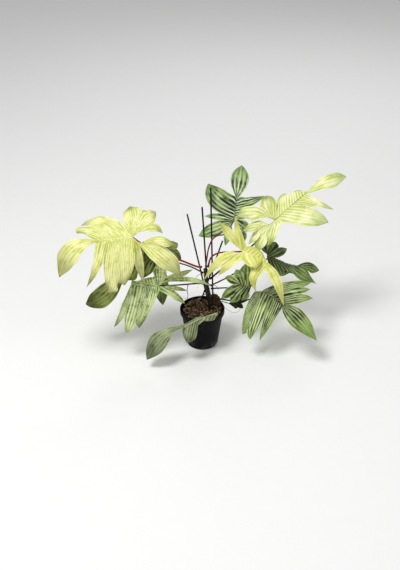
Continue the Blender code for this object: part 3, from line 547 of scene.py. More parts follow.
def stained_black():
    """Black stain over bamboo: long fibres, a few worn brown streaks."""
    finish = Finish("black stained cane", Specular_IOR_Level=0.1)
    grain = finish.place.stretched(900, 900, 12).noise(1.0, 3.0)
    worn = finish.place.stretched(200, 200, 25).noise(1.0, 4.0).rise(0.62, 0.75)
    colour = (worn * 0.35).blend(grain.blend(srgb(8, 8, 9), srgb(28, 27, 26)), srgb(72, 60, 46))
    return finish.wire(colour, 0.42 + 0.3 * grain, grain, 0.0002)


black_stain = stained_black()
for name, (through, top) in CANES.items():
    through, top = np.array(through, float), np.array(top, float)
    foot = top + (through - top) * (top[2] - CANE_FOOT) / (top[2] - through[2])
    t = np.concatenate([np.linspace(0, 0.996, 90), [0.999, 1.0]])
    route = foot + (top - foot) * t[:, None]
    nodes = np.exp(-(((t[:, None] - CANE_NODES) / 0.004) ** 2)).sum(axis=1)
    radii = CANE_RADIUS * (0.94 + 0.06 * nodes) * np.where(t > 0.9985, 0.7, 1)
    points, faces = rings(tubes(route[None], radii[None], 16) * CM)
    piece(name + "_stake", points, faces, [black_stain], [name])


# ---------------------------------------------------------------------------------------------------------------
# Leaves: soft, waxy, deeply lobed blades. The lobes fan from a midrib and from two short side ribs at the joint
# with the stalk, webbed together near the ribs. New leaves open cream yellow and turn mottled, then dark green.


class Lobe(NamedTuple):
    """One lobe, in centimetres from the leaf's joint: where its root ends along the ribs (it starts where the one
    before ends), its tip, how far its vein bows, half widths from web to tip, its web with the next, its columns."""

    rib_to: float
    tip: tuple
    bow: tuple
    half_widths: tuple
    web: float
    columns: int = 2


class Leaf(NamedTuple):
    """A blade. Places on the ribs are counted from the right side rib's end, -2, to the joint, -1, out along the
    midrib to its end, 0, back to the joint, 1, and out to the left side rib's end, 2."""

    joint: tuple
    midrib: tuple
    midrib_bow: tuple
    right_rib: tuple
    left_rib: tuple
    faces: tuple
    start: float
    lobes: list


LEAVES = {
    "upper_left": Leaf(
        joint=(-17.5, -5, 35.5),
        midrib=(-8.5, -2.5, 0.5),
        midrib_bow=(0, 0, 0),
        right_rib=(2, 1.5, 1),
        left_rib=(2.5, -1.5, -1.5),
        faces=(0, -0.4, 0.92),
        start=-2,
        lobes=[
            Lobe(-1.6, (7.5, 3, -0.5), (0.5, 2.5, 2), (0.8, 1.8, 1.8), 1.5),
            Lobe(-1.3, (5.5, 9, 2.5), (0, 0, 1), (1, 2, 2.4), 10.5),
            Lobe(-1, (-1, 9, 4), (0, 0, 1), (0.8, 2.2, 3.2), 2.5),
            Lobe(-0.5, (-13.5, 6, 0), (-0.5, 6.5, 2.5), (2.4, 3, 1), 11, columns=3),
            Lobe(0, (-14, 2, 0), (-1, 5, 0), (1.6, 2.2, 0.6), 1.2, columns=3),
            Lobe(0, (-18, -6, -8), (-3, 1, 4.5), (0.5, 2.2, 6), 1),
            Lobe(1 / 3, (-11.5, -6, -11), (1.5, -2.5, 2), (1.5, 1.6, 0.8), 5),
            Lobe(2 / 3, (-6, -6, -12.5), (0.5, -3, 1.5), (2.4, 2.3, 2), 15),
            Lobe(1, (-2, -5, -11), (0.5, -3, 1.5), (2.4, 2.3, 2.2), 1.5),
            Lobe(1.35, (2.5, -2, -12), (0, -1.5, 1), (0.8, 1.7, 1.2), 1.5),
            Lobe(1.75, (12, -4, -8.5), (1, -0.5, 2.5), (1.2, 3, 4), 5),
            Lobe(2, (10.5, -0.5, -2), (0.5, 1, 2), (0.8, 1.8, 1.8), 2),
        ],
    ),
    "lower_left": Leaf(
        joint=(-11.5, -4, 20.5),
        midrib=(-6.5, -2, 3),
        midrib_bow=(0, 0, 0),
        right_rib=(2, 1, 1),
        left_rib=(1.5, -0.5, 0),
        faces=(0, -0.4, 0.92),
        start=-2,
        lobes=[
            Lobe(-1.55, (14, 0.5, -0.5), (1, 0, 3), (0.4, 1.2, 0.8), 1.5),
            Lobe(-1.25, (9, 4, 2.5), (0, 0, 0.5), (0.6, 1.4, 1), 2.5),
            Lobe(-1, (0.5, 5, 4), (0, 0, 0), (0.8, 2.2, 2), 2.5),
            Lobe(0, (-5, 7, -4), (0, 0, 3), (2.5, 3.5, 2), 3, columns=4),
            Lobe(0, (-11.5, -5, -9.5), (1.5, -1.5, 1.5), (0.8, 1.1, 0.8), 11),
            Lobe(0.5, (-8.5, -5, -11.5), (1, -2, 2), (1.6, 1.7, 1.2), 13),
            Lobe(1, (-5, -4, -10.5), (0.5, -2, 2), (1.6, 1.8, 1.4), 1.5),
            Lobe(1.5, (7, -3, -3.5), (0, 0, 1), (0.7, 1.2, 1.4), 1.5),
            Lobe(2, (7.5, -1.5, -0.5), (0, 0, 0.5), (0.4, 0.9, 0.8), 1.5),
        ],
    ),
    "rear_left": Leaf(
        joint=(-11, 3, 26),
        midrib=(-8.5, -2, -3.5),
        midrib_bow=(0, 0, 0),
        right_rib=(1.5, 1, 0),
        left_rib=(-1, -1.5, -1.5),
        faces=(0, -0.5, 0.85),
        start=-2,
        lobes=[
            Lobe(-1.5, (5.5, 1, -3), (0, 0, 3), (0.8, 2, 1.8), 2.5),
            Lobe(-1, (4.5, 4, 1), (0, 0, 1), (0.8, 2, 1.8), 2.5),
            Lobe(-0.5, (-3, 5, 1.5), (0, 0, 1), (1.8, 2.4, 1.8), 6),
            Lobe(0, (-7.5, 4, 1.5), (0, 0, 1), (1.8, 2.4, 1.8), 3),
            Lobe(0, (-19.5, -8, -10.5), (-0.5, -1, -3.5), (0.8, 3, 4.6), 2),
            Lobe(0.5, (-8.5, -5, -5), (0, 0, 1), (1.8, 2.4, 1.6), 4),
            Lobe(1, (-4.5, -4, -5), (0, 0, 1), (1.8, 2.2, 1.4), 3),
            Lobe(2, (0.5, -4, -13.5), (0, -0.5, 1.5), (0.6, 1.6, 3.4), 1),
        ],
    ),
    "top": Leaf(
        joint=(8.5, 9, 33),
        midrib=(0.5, 3.5, 4),
        midrib_bow=(0, 0, 0),
        right_rib=(1, -0.5, -1.5),
        left_rib=(-1, -0.5, -1.5),
        faces=(-0.1, -0.75, 0.65),
        start=-2,
        lobes=[
            Lobe(-1.5, (2.5, -2.5, -5.5), (0, -1, 1), (0.8, 1.8, 1.6), 2.5),
            Lobe(-1, (4, -1, -3), (0, -1, 1), (0.8, 1.8, 1.5), 2),
            Lobe(-0.5, (7, 1, 1.5), (0, 0, 1), (1.2, 1.8, 1.4), 3.5),
            Lobe(0, (8, 4, 5), (0, 0, -0.5), (1.2, 1.6, 0.6), 1.5),
            Lobe(0, (2, 9, 11.5), (0, 0, 0.5), (0.4, 3, 3.4), 1.5),
            Lobe(1, (-7, 3, 9), (-2, 0, -1), (2.8, 3.2, 3.2), 2, columns=4),
            Lobe(1.3, (-8, -1, 1.5), (0, 0, 1), (0.6, 1.4, 0.8), 2),
            Lobe(1.7, (-9.5, -3.5, -3), (0, -0.5, 0.5), (1, 2.6, 2.4), 2),
            Lobe(2, (-2.5, -3.5, -6), (0, -1, 0.5), (0.6, 1.6, 0.8), 1.5),
        ],
    ),
    "upper_right": Leaf(
        joint=(19, 6, 34.5),
        midrib=(8, 3, 6.5),
        midrib_bow=(0, 0, 0),
        right_rib=(-2, -1, -1),
        left_rib=(-2.5, 0, 1),
        faces=(-0.3, -0.5, 0.8),
        start=-2,
        lobes=[
            Lobe(-1.75, (-8.5, -2, -2), (0, 0, 1), (1, 2.2, 1.2), 4),
            Lobe(-1.5, (-7, -3, -5.5), (0, 0, 1.5), (0.6, 1.5, 1.1), 5),
            Lobe(-1.25, (-5, -4, -7), (0, 0, 1.5), (0.8, 2.2, 2.2), 5),
            Lobe(-1, (-2, -4, -5.5), (0, 0, 1.5), (0.8, 2.2, 2.4), 2),
            Lobe(-0.5, (13, -5, 2), (0, 0, 1), (1.6, 2.8, 3.6), 2),
            Lobe(0, (14.5, -3, 4.5), (0.5, -0.5, 1), (0.7, 1.3, 0.6), 1),
            Lobe(0, (18, 4, 10.5), (0, 1, 1), (0.35, 1.6, 4), 1),
            Lobe(0.5, (5.5, 5, 6), (0, 0, 0.5), (1.7, 1.6, 1.4), 6.5),
            Lobe(1, (2, 5, 5), (0, 0, 0.5), (1.8, 1.8, 2), 1.2),
            Lobe(1.5, (-2.5, 2, 6), (0, 2, 0.5), (0.9, 2.2, 2.4), 4.5),
            Lobe(2, (-10, 0, 1), (0, 1.5, 1.5), (1.2, 3, 2), 2),
        ],
    ),
    "rolled": Leaf(
        joint=(10, -6, 32),
        midrib=(6.5, -3, -2.5),
        midrib_bow=(0, 0, 1),
        right_rib=(-1.5, -0.5, -0.5),
        left_rib=(-1, 0.5, 1),
        faces=(-0.2, -0.6, 0.75),
        start=-2,
        lobes=[
            Lobe(-1.5, (-9.5, -0.5, -8), (-0.5, 0.5, 3.5), (0.6, 2, 1.2), 1.5),
            Lobe(-1, (-6, -2.5, -5.5), (0, 0, 1), (0.6, 1.9, 1.3), 1),
            Lobe(-1 / 3, (3.5, -4.5, -2), (0, -0.5, 0), (2.8, 2, 1.6), 1, columns=4),
            Lobe(0, (3.5, -4.5, -9), (-3.5, -1.5, 1), (1.1, 1.6, 1), 1.2),
            Lobe(0, (10.5, -6, -12.5), (0, -1.5, 4), (0.9, 1.7, 1.1), 1.5),
            Lobe(1, (5, -0.5, 0), (0, 0, 0.4), (3.2, 3, 1.8), 0.8, columns=6),
            Lobe(1.5, (-2, 3, 8.5), (0, 0, 0), (0.5, 1.4, 0.6), 1.2),
            Lobe(2, (-6, 1, 8), (0, 0, 1), (0.5, 1.8, 0.9), 1.2),
        ],
    ),
    "rear_right": Leaf(
        joint=(17.5, 8, 21.5),
        midrib=(8.5, -2, -1.5),
        midrib_bow=(0, 0, 0),
        right_rib=(0, 0, 0),
        left_rib=(0, 1, 1),
        faces=(0, -0.4, 0.9),
        start=-1,
        lobes=[
            Lobe(-0.5, (4, -4, -3), (0, 0, 0.5), (2.2, 2.6, 2.4), 4.5),
            Lobe(0, (13, -5.5, -4.5), (-1, 0, 1), (1.6, 2.8, 0.4), 3),
            Lobe(0, (14, -2, -2.5), (-0.5, 1, 1), (0.6, 2, 2.2), 1.5),
            Lobe(1, (6, 4, -5.5), (0, 0, 2), (2.5, 3, 1.6), 1.5, columns=4),
            Lobe(1.35, (5.5, 3, 1.5), (0, 0, 0), (0.6, 1.6, 1.8), 3.5),
            Lobe(1.7, (2.5, 4, 3), (0, 0, 0), (0.6, 1.6, 1.6), 3.5),
            Lobe(2, (-1.5, 2, 3), (0, 0, 0), (0.6, 1.6, 1.5), 2),
        ],
    ),
    "lower_right": Leaf(
        joint=(15.5, -2, 17.5),
        midrib=(5.5, -3, -2.5),
        midrib_bow=(0, 0, 1),
        right_rib=(-2, 0, 0),
        left_rib=(0, 0, 0),
        faces=(0.2, -0.5, 0.8),
        start=-1.6,
        lobes=[
            Lobe(-1, (-5, -6, -9.5), (-0.2, -1, 1.6), (1.2, 1.9, 1.5), 11),
            Lobe(-0.5, (-3, -7, -10.5), (-0.5, -1, 1.8), (1.3, 1.8, 1.2), 6.5, columns=3),
            Lobe(0, (-0.5, -7.5, -10.5), (0.5, -1, 1.8), (1.2, 1.6, 0.9), 1.5, columns=3),
            Lobe(0, (14, -10, -8.5), (-1, 0.5, 2.5), (0.7, 4.2, 3.2), 1.2),
            Lobe(1 / 3, (13.5, -1, -1.5), (0, 0, 1), (0.9, 1.9, 1.2), 4.5),
            Lobe(2 / 3, (13, 1, 0), (0, 0, 1), (0.9, 1.5, 1), 6),
            Lobe(1, (13.5, 3, 1), (0, 0, 1), (1.2, 2, 1.2), 2),
        ],
    ),
    "low_middle": Leaf(
        joint=(13, 3, 15.5),
        midrib=(-3, -1.5, 2),
        midrib_bow=(0, 0, 0),
        right_rib=(0, 0, 0),
        left_rib=(0, 0, 0),
        faces=(0, -0.5, 0.85),
        start=-1,
        lobes=[
            Lobe(-0.5, (-1, 2.5, 6.5), (0, 0, 0), (1.5, 3.2, 2.6), 1.2, columns=3),
            Lobe(0, (-4, 0.5, 5.5), (0, 0, 0.5), (1, 1.8, 1.2), 2.5, columns=3),
            Lobe(0, (-7, -2, 4.5), (0, 0, 0.5), (0.7, 1.8, 1), 1.5),
            Lobe(1 / 3, (-8, -4.5, -0.5), (0, 0, 0.5), (0.8, 2, 1.4), 3),
            Lobe(2 / 3, (-5.5, -5, -1.5), (0, 0, 0.5), (0.9, 1.8, 1.4), 3.5),
            Lobe(1, (-2.5, -4, -1.5), (0, 0, 0.5), (0.9, 1.8, 1.4), 2),
        ],
    ),
    "small": Leaf(
        joint=(7, 1.5, 11.5),
        midrib=(2, 0, 0),
        midrib_bow=(0, 0, 0),
        right_rib=(0, 0, 0),
        left_rib=(0, 0, 0),
        faces=(0, -0.5, 0.85),
        start=-1,
        lobes=[
            Lobe(0, (2.5, -1.5, -0.5), (0, 0, 0), (0.6, 0.9, 0.5), 0.8),
            Lobe(0, (4, -1, -1), (0, 0, 0.5), (0.5, 1, 0.8), 0.8),
            Lobe(1, (5.5, 1, 0.5), (0, 0, 0), (0.5, 0.9, 0.7), 0.8),
        ],
    ),
    "old": Leaf(
        joint=(4, -6, 13.5),
        midrib=(-9, -3.5, -2.5),
        midrib_bow=(0, 0, 1),
        right_rib=(0, 0, 0),
        left_rib=(0, 0, 0),
        faces=(-0.1, -0.6, 0.8),
        start=-1,
        lobes=[
            Lobe(0, (-4.5, -1, -0.5), (0, 0, 0), (2.2, 1.3, 0.7), 0.4, columns=4),
            Lobe(0, (-18.5, -6.5, -10.5), (-1.5, 0, 4), (0.15, 0.15, 3.6, 3.8), 0.5),
            Lobe(0.5, (-8, -4.5, -6.5), (0, 0, 0), (1.6, 2.2, 2.2), 2),
            Lobe(1, (-3, -2.5, -1), (0, 0, 0), (1.8, 1.5, 0.9), 0.6),
        ],
    ),
}

BLADE_THICKNESS = 0.045
FINE = 16  # mesh columns for each one in the table
WEB_ROWS, LOBE_ROWS = 8, 28  # mesh rows on a lobe's webbed part and on its free part
SEWN_WITHIN = 2e-4  # points nearer than this become one
FOLD_HEIGHT, VEIN_DEPTH, WAVE_HEIGHT = 0.075, 0.05, 0.16
DROOP = 0.14  # how far a lobe's sides droop from its vein, as a part of its half width
RIB_RINGS = 24
RIB_RADIUS = {"mid": 0.13, "right": 0.1, "left": 0.1}
RIB_UNDER = 0.05  # how far the ribs lie below the blade's middle
SHORTEST_RIB = 0.5


def bezier(points, t):
    """Bezier curve through its first and last point, read at the places t from 0 to 1."""
    t = np.asarray(t, float)[..., None]
    level = [np.asarray(point, float) + 0 * t for point in points]
    while len(level) > 1:
        level = [first * (1 - t) + second * t for first, second in zip(level, level[1:])]
    return level[0]


def rib_places(leaf, k):
    """Points on the ribs at the places k: a bowed midrib, and straight side ribs."""
    k = np.asarray(k, float)
    end = np.array(leaf.midrib, float)
    along_midrib = bezier([np.zeros(3), end / 2 + leaf.midrib_bow, end], np.clip(1 - abs(k), 0, 1))
    on_right = np.multiply.outer(np.clip(-k - 1, 0, 1), leaf.right_rib)
    on_left = np.multiply.outer(np.clip(k - 1, 0, 1), leaf.left_rib)
    return along_midrib + on_right + on_left


def lobe_strips(leaf):
    """Each lobe as a strip of points: a bowed curve from root to tip (v from 0 to 1), and across it (u from -1 to
    1) the half width, a Bezier curve of q, which is 0 at the web's end and 1 at the tip."""
    webs = [1.5, *(lobe.web for lobe in leaf.lobes)]
    starts = [leaf.start, *(lobe.rib_to for lobe in leaf.lobes)]
    rows = np.concatenate([np.linspace(0, 1, WEB_ROWS + 1), 1 + np.linspace(0, 1, LOBE_ROWS + 1)[1:]])[:, None]
    strips = []
    for number, lobe in enumerate(leaf.lobes):
        root, tip = rib_places(leaf, (starts[number] + lobe.rib_to) / 2), np.array(lobe.tip, float)
        length = np.linalg.norm(tip - root) + 0.6 * np.linalg.norm(lobe.bow)
        u = np.linspace(-1, 1, lobe.columns * FINE + 1)
        first, last = np.clip(np.array(webs[number : number + 2]) / length, 0.05, 0.92)
        web_end = (first + last) / 2 + abs(u) * np.where(u < 0, first - last, last - first) / 2
        v = np.where(rows <= 1, rows * web_end, web_end + (1 - web_end) * (rows - 1))
        q = np.clip((v - web_end) / (1 - web_end), 0, 1)
        pulled = (root + tip) / 2 + lobe.bow
        middle = bezier([root, pulled, tip], v)
        along = unit((1 - v)[..., None] * (pulled - root) + v[..., None] * (tip - pulled))
        across = unit(np.cross(tip - root, leaf.faces))
        side = unit(across - (along @ across)[..., None] * along)
        half_width = bezier([[width] for width in (*lobe.half_widths, 0)], q)
        points = middle - side * half_width * u[:, None]
        strips.append((points, u, q, v * length, np.cross(side, along)))
    return strips, starts


def joined_strips(leaf):
    """The strips with the edges of their webs drawn together and their roots laid on the ribs, so that they sew."""
    strips, starts = lobe_strips(leaf)
    web_steps = np.linspace(0, 1, WEB_ROWS + 1)
    web = slice(0, WEB_ROWS + 1)
    edges = [[] for _ in starts]
    for number, strip in enumerate(strips):
        edges[number].append(strip[0][web, 0])
        edges[number + 1].append(strip[0][web, -1])
    shared = []
    for place, pair in zip(starts, edges):
        average = sum(pair) / len(pair)
        shared.append(average + (rib_places(leaf, place) - average[0]) * (1 - web_steps[:, None]) ** 2)
    joined = []
    for number, (points, u, q, along, normal) in enumerate(strips):
        for column, weight in ((0, np.clip(-u, 0, 1)), (-1, np.clip(u, 0, 1))):
            shift = shared[number - column] - points[web, column]
            fading = np.clip(1 - q[WEB_ROWS + 1 :, column] / 0.6, 0, 1)[:, None] ** 2
            shift = np.vstack([shift, shift[-1] * fading])
            points = points + (weight**1.3)[None, :, None] * shift[:, None, :]
        on_rib = rib_places(leaf, starts[number] + (starts[number + 1] - starts[number]) * (u + 1) / 2)
        fading = np.concatenate([(1 - web_steps) ** 2, np.zeros(LOBE_ROWS)])
        joined.append((points + (on_rib - points[0]) * fading[:, None, None], u, q, along, normal))
    return joined


def relief(leaf, number, points, u, q, along, normal):
    """Lifts a strip off its plane: pleats side by side along the lobe, a groove down its vein, sides that droop
    from the vein, and a slow wave on the free margin. All of it fades to nothing at the ribs and on shared webs."""
    half = np.linalg.norm(points[:, -1] - points[:, 0], axis=1, keepdims=True) / 2
    size = abs(u)[None, :]
    pleats = np.clip(np.round(half.max()), 1, 2 * leaf.lobes[number].columns)  # about one to a centimetre
    pleat = size * pleats
    free = np.clip(q / 0.35, 0, 1) ** 2 * (3 - 2 * np.clip(q / 0.35, 0, 1))
    margin = free + (1 - free) * (1 - size**6)
    off_rib = np.clip(along / 1.2, 0, 1)
    tip_fade = np.clip((1 - q) / 0.25, 0, 1)
    fold = FOLD_HEIGHT * np.cos(2 * np.pi * pleat) * np.clip(half / 1.6, 0, 1) * tip_fade * np.clip(size * 6, 0, 1)
    groove = -VEIN_DEPTH * np.exp(-((size * half / 0.1) ** 2)) * tip_fade
    droop = -DROOP * half * size**2 * free
    wave = WAVE_HEIGHT * np.sin(1.25 * along + 2.4 * number) * size**3 * free * np.clip(half / 1.5, 0, 1)
    lift = ((fold + groove) * margin + droop + wave) * off_rib
    strip = np.stack([u * half, along, np.full_like(along, 3.1 * number)], axis=-1)
    return points + normal * lift[..., None], strip, size + 0 * q, pleat + 0 * q


def leaf_sheet(leaf):
    """All of a leaf's strips in centimetres, sewn where their points agree, with what its skin follows: the strip
    (across, along and lobe), how near the margin, how near the tip, and the count of pleats."""
    points, faces, strip, margin, tipward, pleat, count = [], [], [], [], [], [], 0
    for number, (grid, u, q, along, normal) in enumerate(joined_strips(leaf)):
        grid, place, size, folds = relief(leaf, number, grid, u, q, along, normal)
        index = count + np.arange(grid.shape[0] * grid.shape[1]).reshape(grid.shape[:2])
        around = [index[:-1, :-1], index[:-1, 1:], index[1:, 1:], index[1:, :-1]]
        faces.append(np.stack(around, axis=-1).reshape(-1, 4))
        count += index.size
        for collected, values in ((points, grid), (strip, place)):
            collected.append(values.reshape(-1, 3))
        for collected, values in ((margin, size), (tipward, q), (pleat, folds)):
            collected.append(values.ravel())
    points, faces = np.concatenate(points) + leaf.joint, np.concatenate(faces)
    places = np.round(points / SEWN_WITHIN).astype(np.int64)
    _, kept, sewn = np.unique(places, axis=0, return_index=True, return_inverse=True)
    faces = sewn.reshape(-1)[faces]
    corners = points[kept][faces]
    crossing = np.cross(corners[:, 1] - corners[:, 0], corners[:, 3] - corners[:, 0])
    if (crossing @ np.array(leaf.faces)).sum() < 0:
        faces = faces[:, ::-1]
    same = faces == np.roll(faces, -1, axis=1)
    polygons = faces[same.sum(axis=1) == 0].tolist()
    for corner in range(4):
        pinched = faces[(same.sum(axis=1) == 1) & same[:, corner]]
        polygons += np.delete(pinched, corner, axis=1).tolist()
    looks = [np.concatenate(values)[kept] for values in (strip, margin, tipward, pleat)]
    return points[kept], polygons, dict(zip(("strip", "margin", "tipward", "pleat"), looks))


class Tint(NamedTuple):
    """How a leaf is coloured: its pale veins, its paler part, its greener part, its tips and its ribs. Then how
    much of it is the greener part, how strong the green lines in the hollows of its folds are, darkened there
    as painted shade, the pale lines on the ridges between them, partly a painted highlight, the bands across
    its lobes and its pale rim, and its material slot."""

    veins: tuple
    pale: tuple
    green: tuple
    tips: tuple
    rib: tuple
    greenness: float
    hollows: float
    ridges: float
    bands: float
    rim: float
    slot: str


YELLOW, GREEN, DARK, GREY_GREEN = "blade_yellow", "blade_green", "blade_dark", "blade_grey_green"
TINTS = {
    "upper_left": Tint(
        veins=(250, 250, 198), pale=(242, 242, 168), green=(202, 210, 92), tips=(112, 122, 34), rib=(242, 242, 184),
        greenness=0.46, hollows=0.5, ridges=0.8, bands=0.2, rim=0.2, slot=YELLOW,
    ),
    "upper_right": Tint(
        veins=(254, 254, 220), pale=(250, 250, 196), green=(208, 218, 112), tips=(128, 156, 46), rib=(96, 96, 46),
        greenness=0.5, hollows=0.5, ridges=0.8, bands=0.1, rim=0.2, slot=YELLOW,
    ),
    "rolled": Tint(
        veins=(248, 246, 186), pale=(240, 240, 152), green=(204, 208, 92), tips=(150, 156, 46), rib=(236, 234, 156),
        greenness=0.46, hollows=0.35, ridges=0.6, bands=0.1, rim=0.2, slot=YELLOW,
    ),
    "lower_left": Tint(
        veins=(238, 244, 208), pale=(212, 226, 154), green=(96, 130, 48), tips=(62, 94, 38), rib=(212, 222, 164),
        greenness=0.34, hollows=0.7, ridges=0.9, bands=0.6, rim=0.2, slot=GREEN,
    ),
    "top": Tint(
        veins=(230, 242, 204), pale=(172, 198, 126), green=(30, 52, 14), tips=(94, 126, 56), rib=(24, 40, 16),
        greenness=0.5, hollows=0.9, ridges=1.2, bands=0.1, rim=0.5, slot=GREEN,
    ),
    "lower_right": Tint(
        veins=(232, 240, 190), pale=(158, 184, 106), green=(36, 60, 18), tips=(112, 138, 56), rib=(28, 44, 18),
        greenness=0.5, hollows=0.9, ridges=1.1, bands=0.1, rim=0.9, slot=GREEN,
    ),
    "low_middle": Tint(
        veins=(216, 230, 168), pale=(164, 186, 104), green=(32, 52, 16), tips=(106, 132, 56), rib=(34, 50, 22),
        greenness=0.5, hollows=0.9, ridges=0.9, bands=0.2, rim=0.5, slot=GREEN,
    ),
    "rear_left": Tint(
        veins=(196, 206, 124), pale=(160, 172, 90), green=(48, 64, 24), tips=(40, 52, 20), rib=(64, 80, 36),
        greenness=0.46, hollows=0.6, ridges=0.5, bands=0.1, rim=0.2, slot=DARK,
    ),
    "rear_right": Tint(
        veins=(168, 186, 120), pale=(108, 130, 66), green=(34, 50, 20), tips=(98, 122, 60), rib=(26, 40, 18),
        greenness=0.54, hollows=0.7, ridges=0.7, bands=0.1, rim=0.5, slot=DARK,
    ),
    "small": Tint(
        veins=(90, 106, 60), pale=(62, 78, 40), green=(20, 28, 14), tips=(22, 28, 16), rib=(52, 64, 34),
        greenness=0.6, hollows=0.5, ridges=0.2, bands=0.1, rim=0.2, slot=DARK,
    ),
    "old": Tint(
        veins=(190, 198, 158), pale=(164, 174, 130), green=(86, 100, 60), tips=(42, 54, 28), rib=(176, 182, 142),
        greenness=0.48, hollows=0.6, ridges=0.6, bands=0.1, rim=0.2, slot=GREY_GREEN,
    ),
}
DRY = (104, 88, 46)
GREEN_LOST = 0.055  # share of the greener part lost with each centimetre away from the ribs


def leaf_finish(name, tint, underside):
    """Waxy leaf skin. Mottling runs in streaks along each lobe and in faint bands across it, greenest near the
    ribs. Green lines lie in the hollows of the pleats, darkened there as painted shade, and pale ones on their
    ridges, partly a painted highlight, both wearing off towards the tip. Each lobe's vein shows as one pale
    line, and the very tips are dry. The underside is duller."""
    finish = Finish(name, Specular_IOR_Level=0.15 if underside else 0.28)
    strip, pleat = finish.attribute("strip", 1), finish.attribute("pleat")
    streaks = strip.stretched(2.6, 0.16, 5).noise(1.0, 3.0)
    bands = strip.stretched(0.3, 1.5, 3).noise(1.0, 2.0)
    blotches = strip.stretched(0.5, 0.28, 2).noise(1.0, 2.0)
    cells = finish.place.noise(900, 2.0)
    ridge = pleat.ripple()
    tipward, margin = finish.attribute("tipward"), finish.attribute("margin")
    share = (streaks - 0.5) * 1.9 + (blotches - 0.5) * 2.3 + (bands - 0.5) * (2.4 * tint.bands) + tint.greenness
    share = (share + 0.3 - strip.part(1) * GREEN_LOST).rise(0.1, 0.9)
    colour = share.blend(srgb(*tint.pale), srgb(*tint.green))
    worn = 1 - 0.75 * tipward
    # Painted shade: the green lines in the pleat hollows are darkened further, to 0.78 of the green, as shade in the
    # creases.
    hollow_green_and_shade = (1 - ridge).rise(0.45, 1.0) * (2.2 * streaks + 1.6 * blotches - 1.2) * worn * tint.hollows
    colour = hollow_green_and_shade.capped().blend(colour, srgb(*(part * 0.78 for part in tint.green)))
    # Partly painted highlight: the pale vein lines lie on the pleat ridges, where the light catches them.
    crest_veins_and_highlight = ridge.rise(0.45, 1.0) * (4.4 * streaks - 1.7) * worn * tint.ridges
    colour = crest_veins_and_highlight.capped().blend(colour, srgb(*tint.veins))
    edge = margin.rise(0.82, 1.0) * tipward.rise(0.0, 0.3) * (0.4 + blotches) * tint.rim
    colour = edge.capped().blend(colour, srgb(*tint.veins))
    end = tipward.rise(0.35, 1.0) * (0.45 + blotches) * 0.8
    colour = end.capped().blend(colour, srgb(*tint.tips))
    rib = 1 - strip.part(1).rise(0.07, 0.16)
    vein = (1 - strip.part(0).size().rise(0.015, 0.07)) * (0.25 + 0.35 * tipward)
    colour = vein.blend(colour, srgb(*tint.veins))
    colour = (rib * 0.85).blend(colour, srgb(*tint.rib))
    colour = (tipward.rise(0.955, 0.99) * 0.7).blend(colour, srgb(*DRY))
    if underside:
        colour = (finish.place.noise(4.0) * 0.3 + 0.25).blend(colour, srgb(*tint.pale))
    height = ridge * 0.35 + cells * 0.1 - vein * 0.6 + rib * 0.6
    rough = (0.5 if underside else 0.3) + 0.2 * blotches + 0.06 * cells
    return finish.wire(colour, rough, height, 0.0008)


for name, leaf in LEAVES.items():
    points, faces, looks = leaf_sheet(leaf)
    tint = TINTS[name]
    skins = [leaf_finish(f"{name} leaf, upper skin", tint, False), leaf_finish(f"{name} leaf, under skin", tint, True)]
    made = piece(f"leaf_{name}", points * CM, faces, skins, [f"blade_{name}"], looks)
    thickness = made.modifiers.new("thickness", "SOLIDIFY")
    thickness.thickness = BLADE_THICKNESS * CM
    thickness.offset = 0.0
    thickness.material_offset = 1
    below = unit(np.array(leaf.faces, float)) * -RIB_UNDER
    reach = 1 - np.linspace(0, 1, RIB_RINGS) ** 2
    for side, far in {"mid": 0, "right": -2, "left": 2}.items():
        near = 1 if side == "left" else -1
        route = rib_places(leaf, np.linspace(near, far, RIB_RINGS)) + leaf.joint + below
        if np.linalg.norm(route[-1] - route[0]) < SHORTEST_RIB:
            continue
        taper = (0.35 + 0.65 * np.linspace(1, 0, RIB_RINGS)) * np.sqrt(np.clip(reach * 20, 0.02, 1))
        radii = RIB_RADIUS[side] * taper
        points, faces = rings(tubes(route[None], radii[None], 12) * CM)
        values = {"strip": np.zeros_like(points), "margin": 0 * points[:, 0], "tipward": 0 * points[:, 0]}
        values["pleat"] = values["margin"]
        piece(f"leaf_{name}_{side}_rib", points, faces, [skins[1]], (), values)


# ---------------------------------------------------------------------------------------------------------------
# Stalks: long round leaf stalks, warty and brick red on the youngest leaves and nearly black on the older ones.
# Each clasps the stem with a flared foot and ends in a short swollen knee that carries the blade.

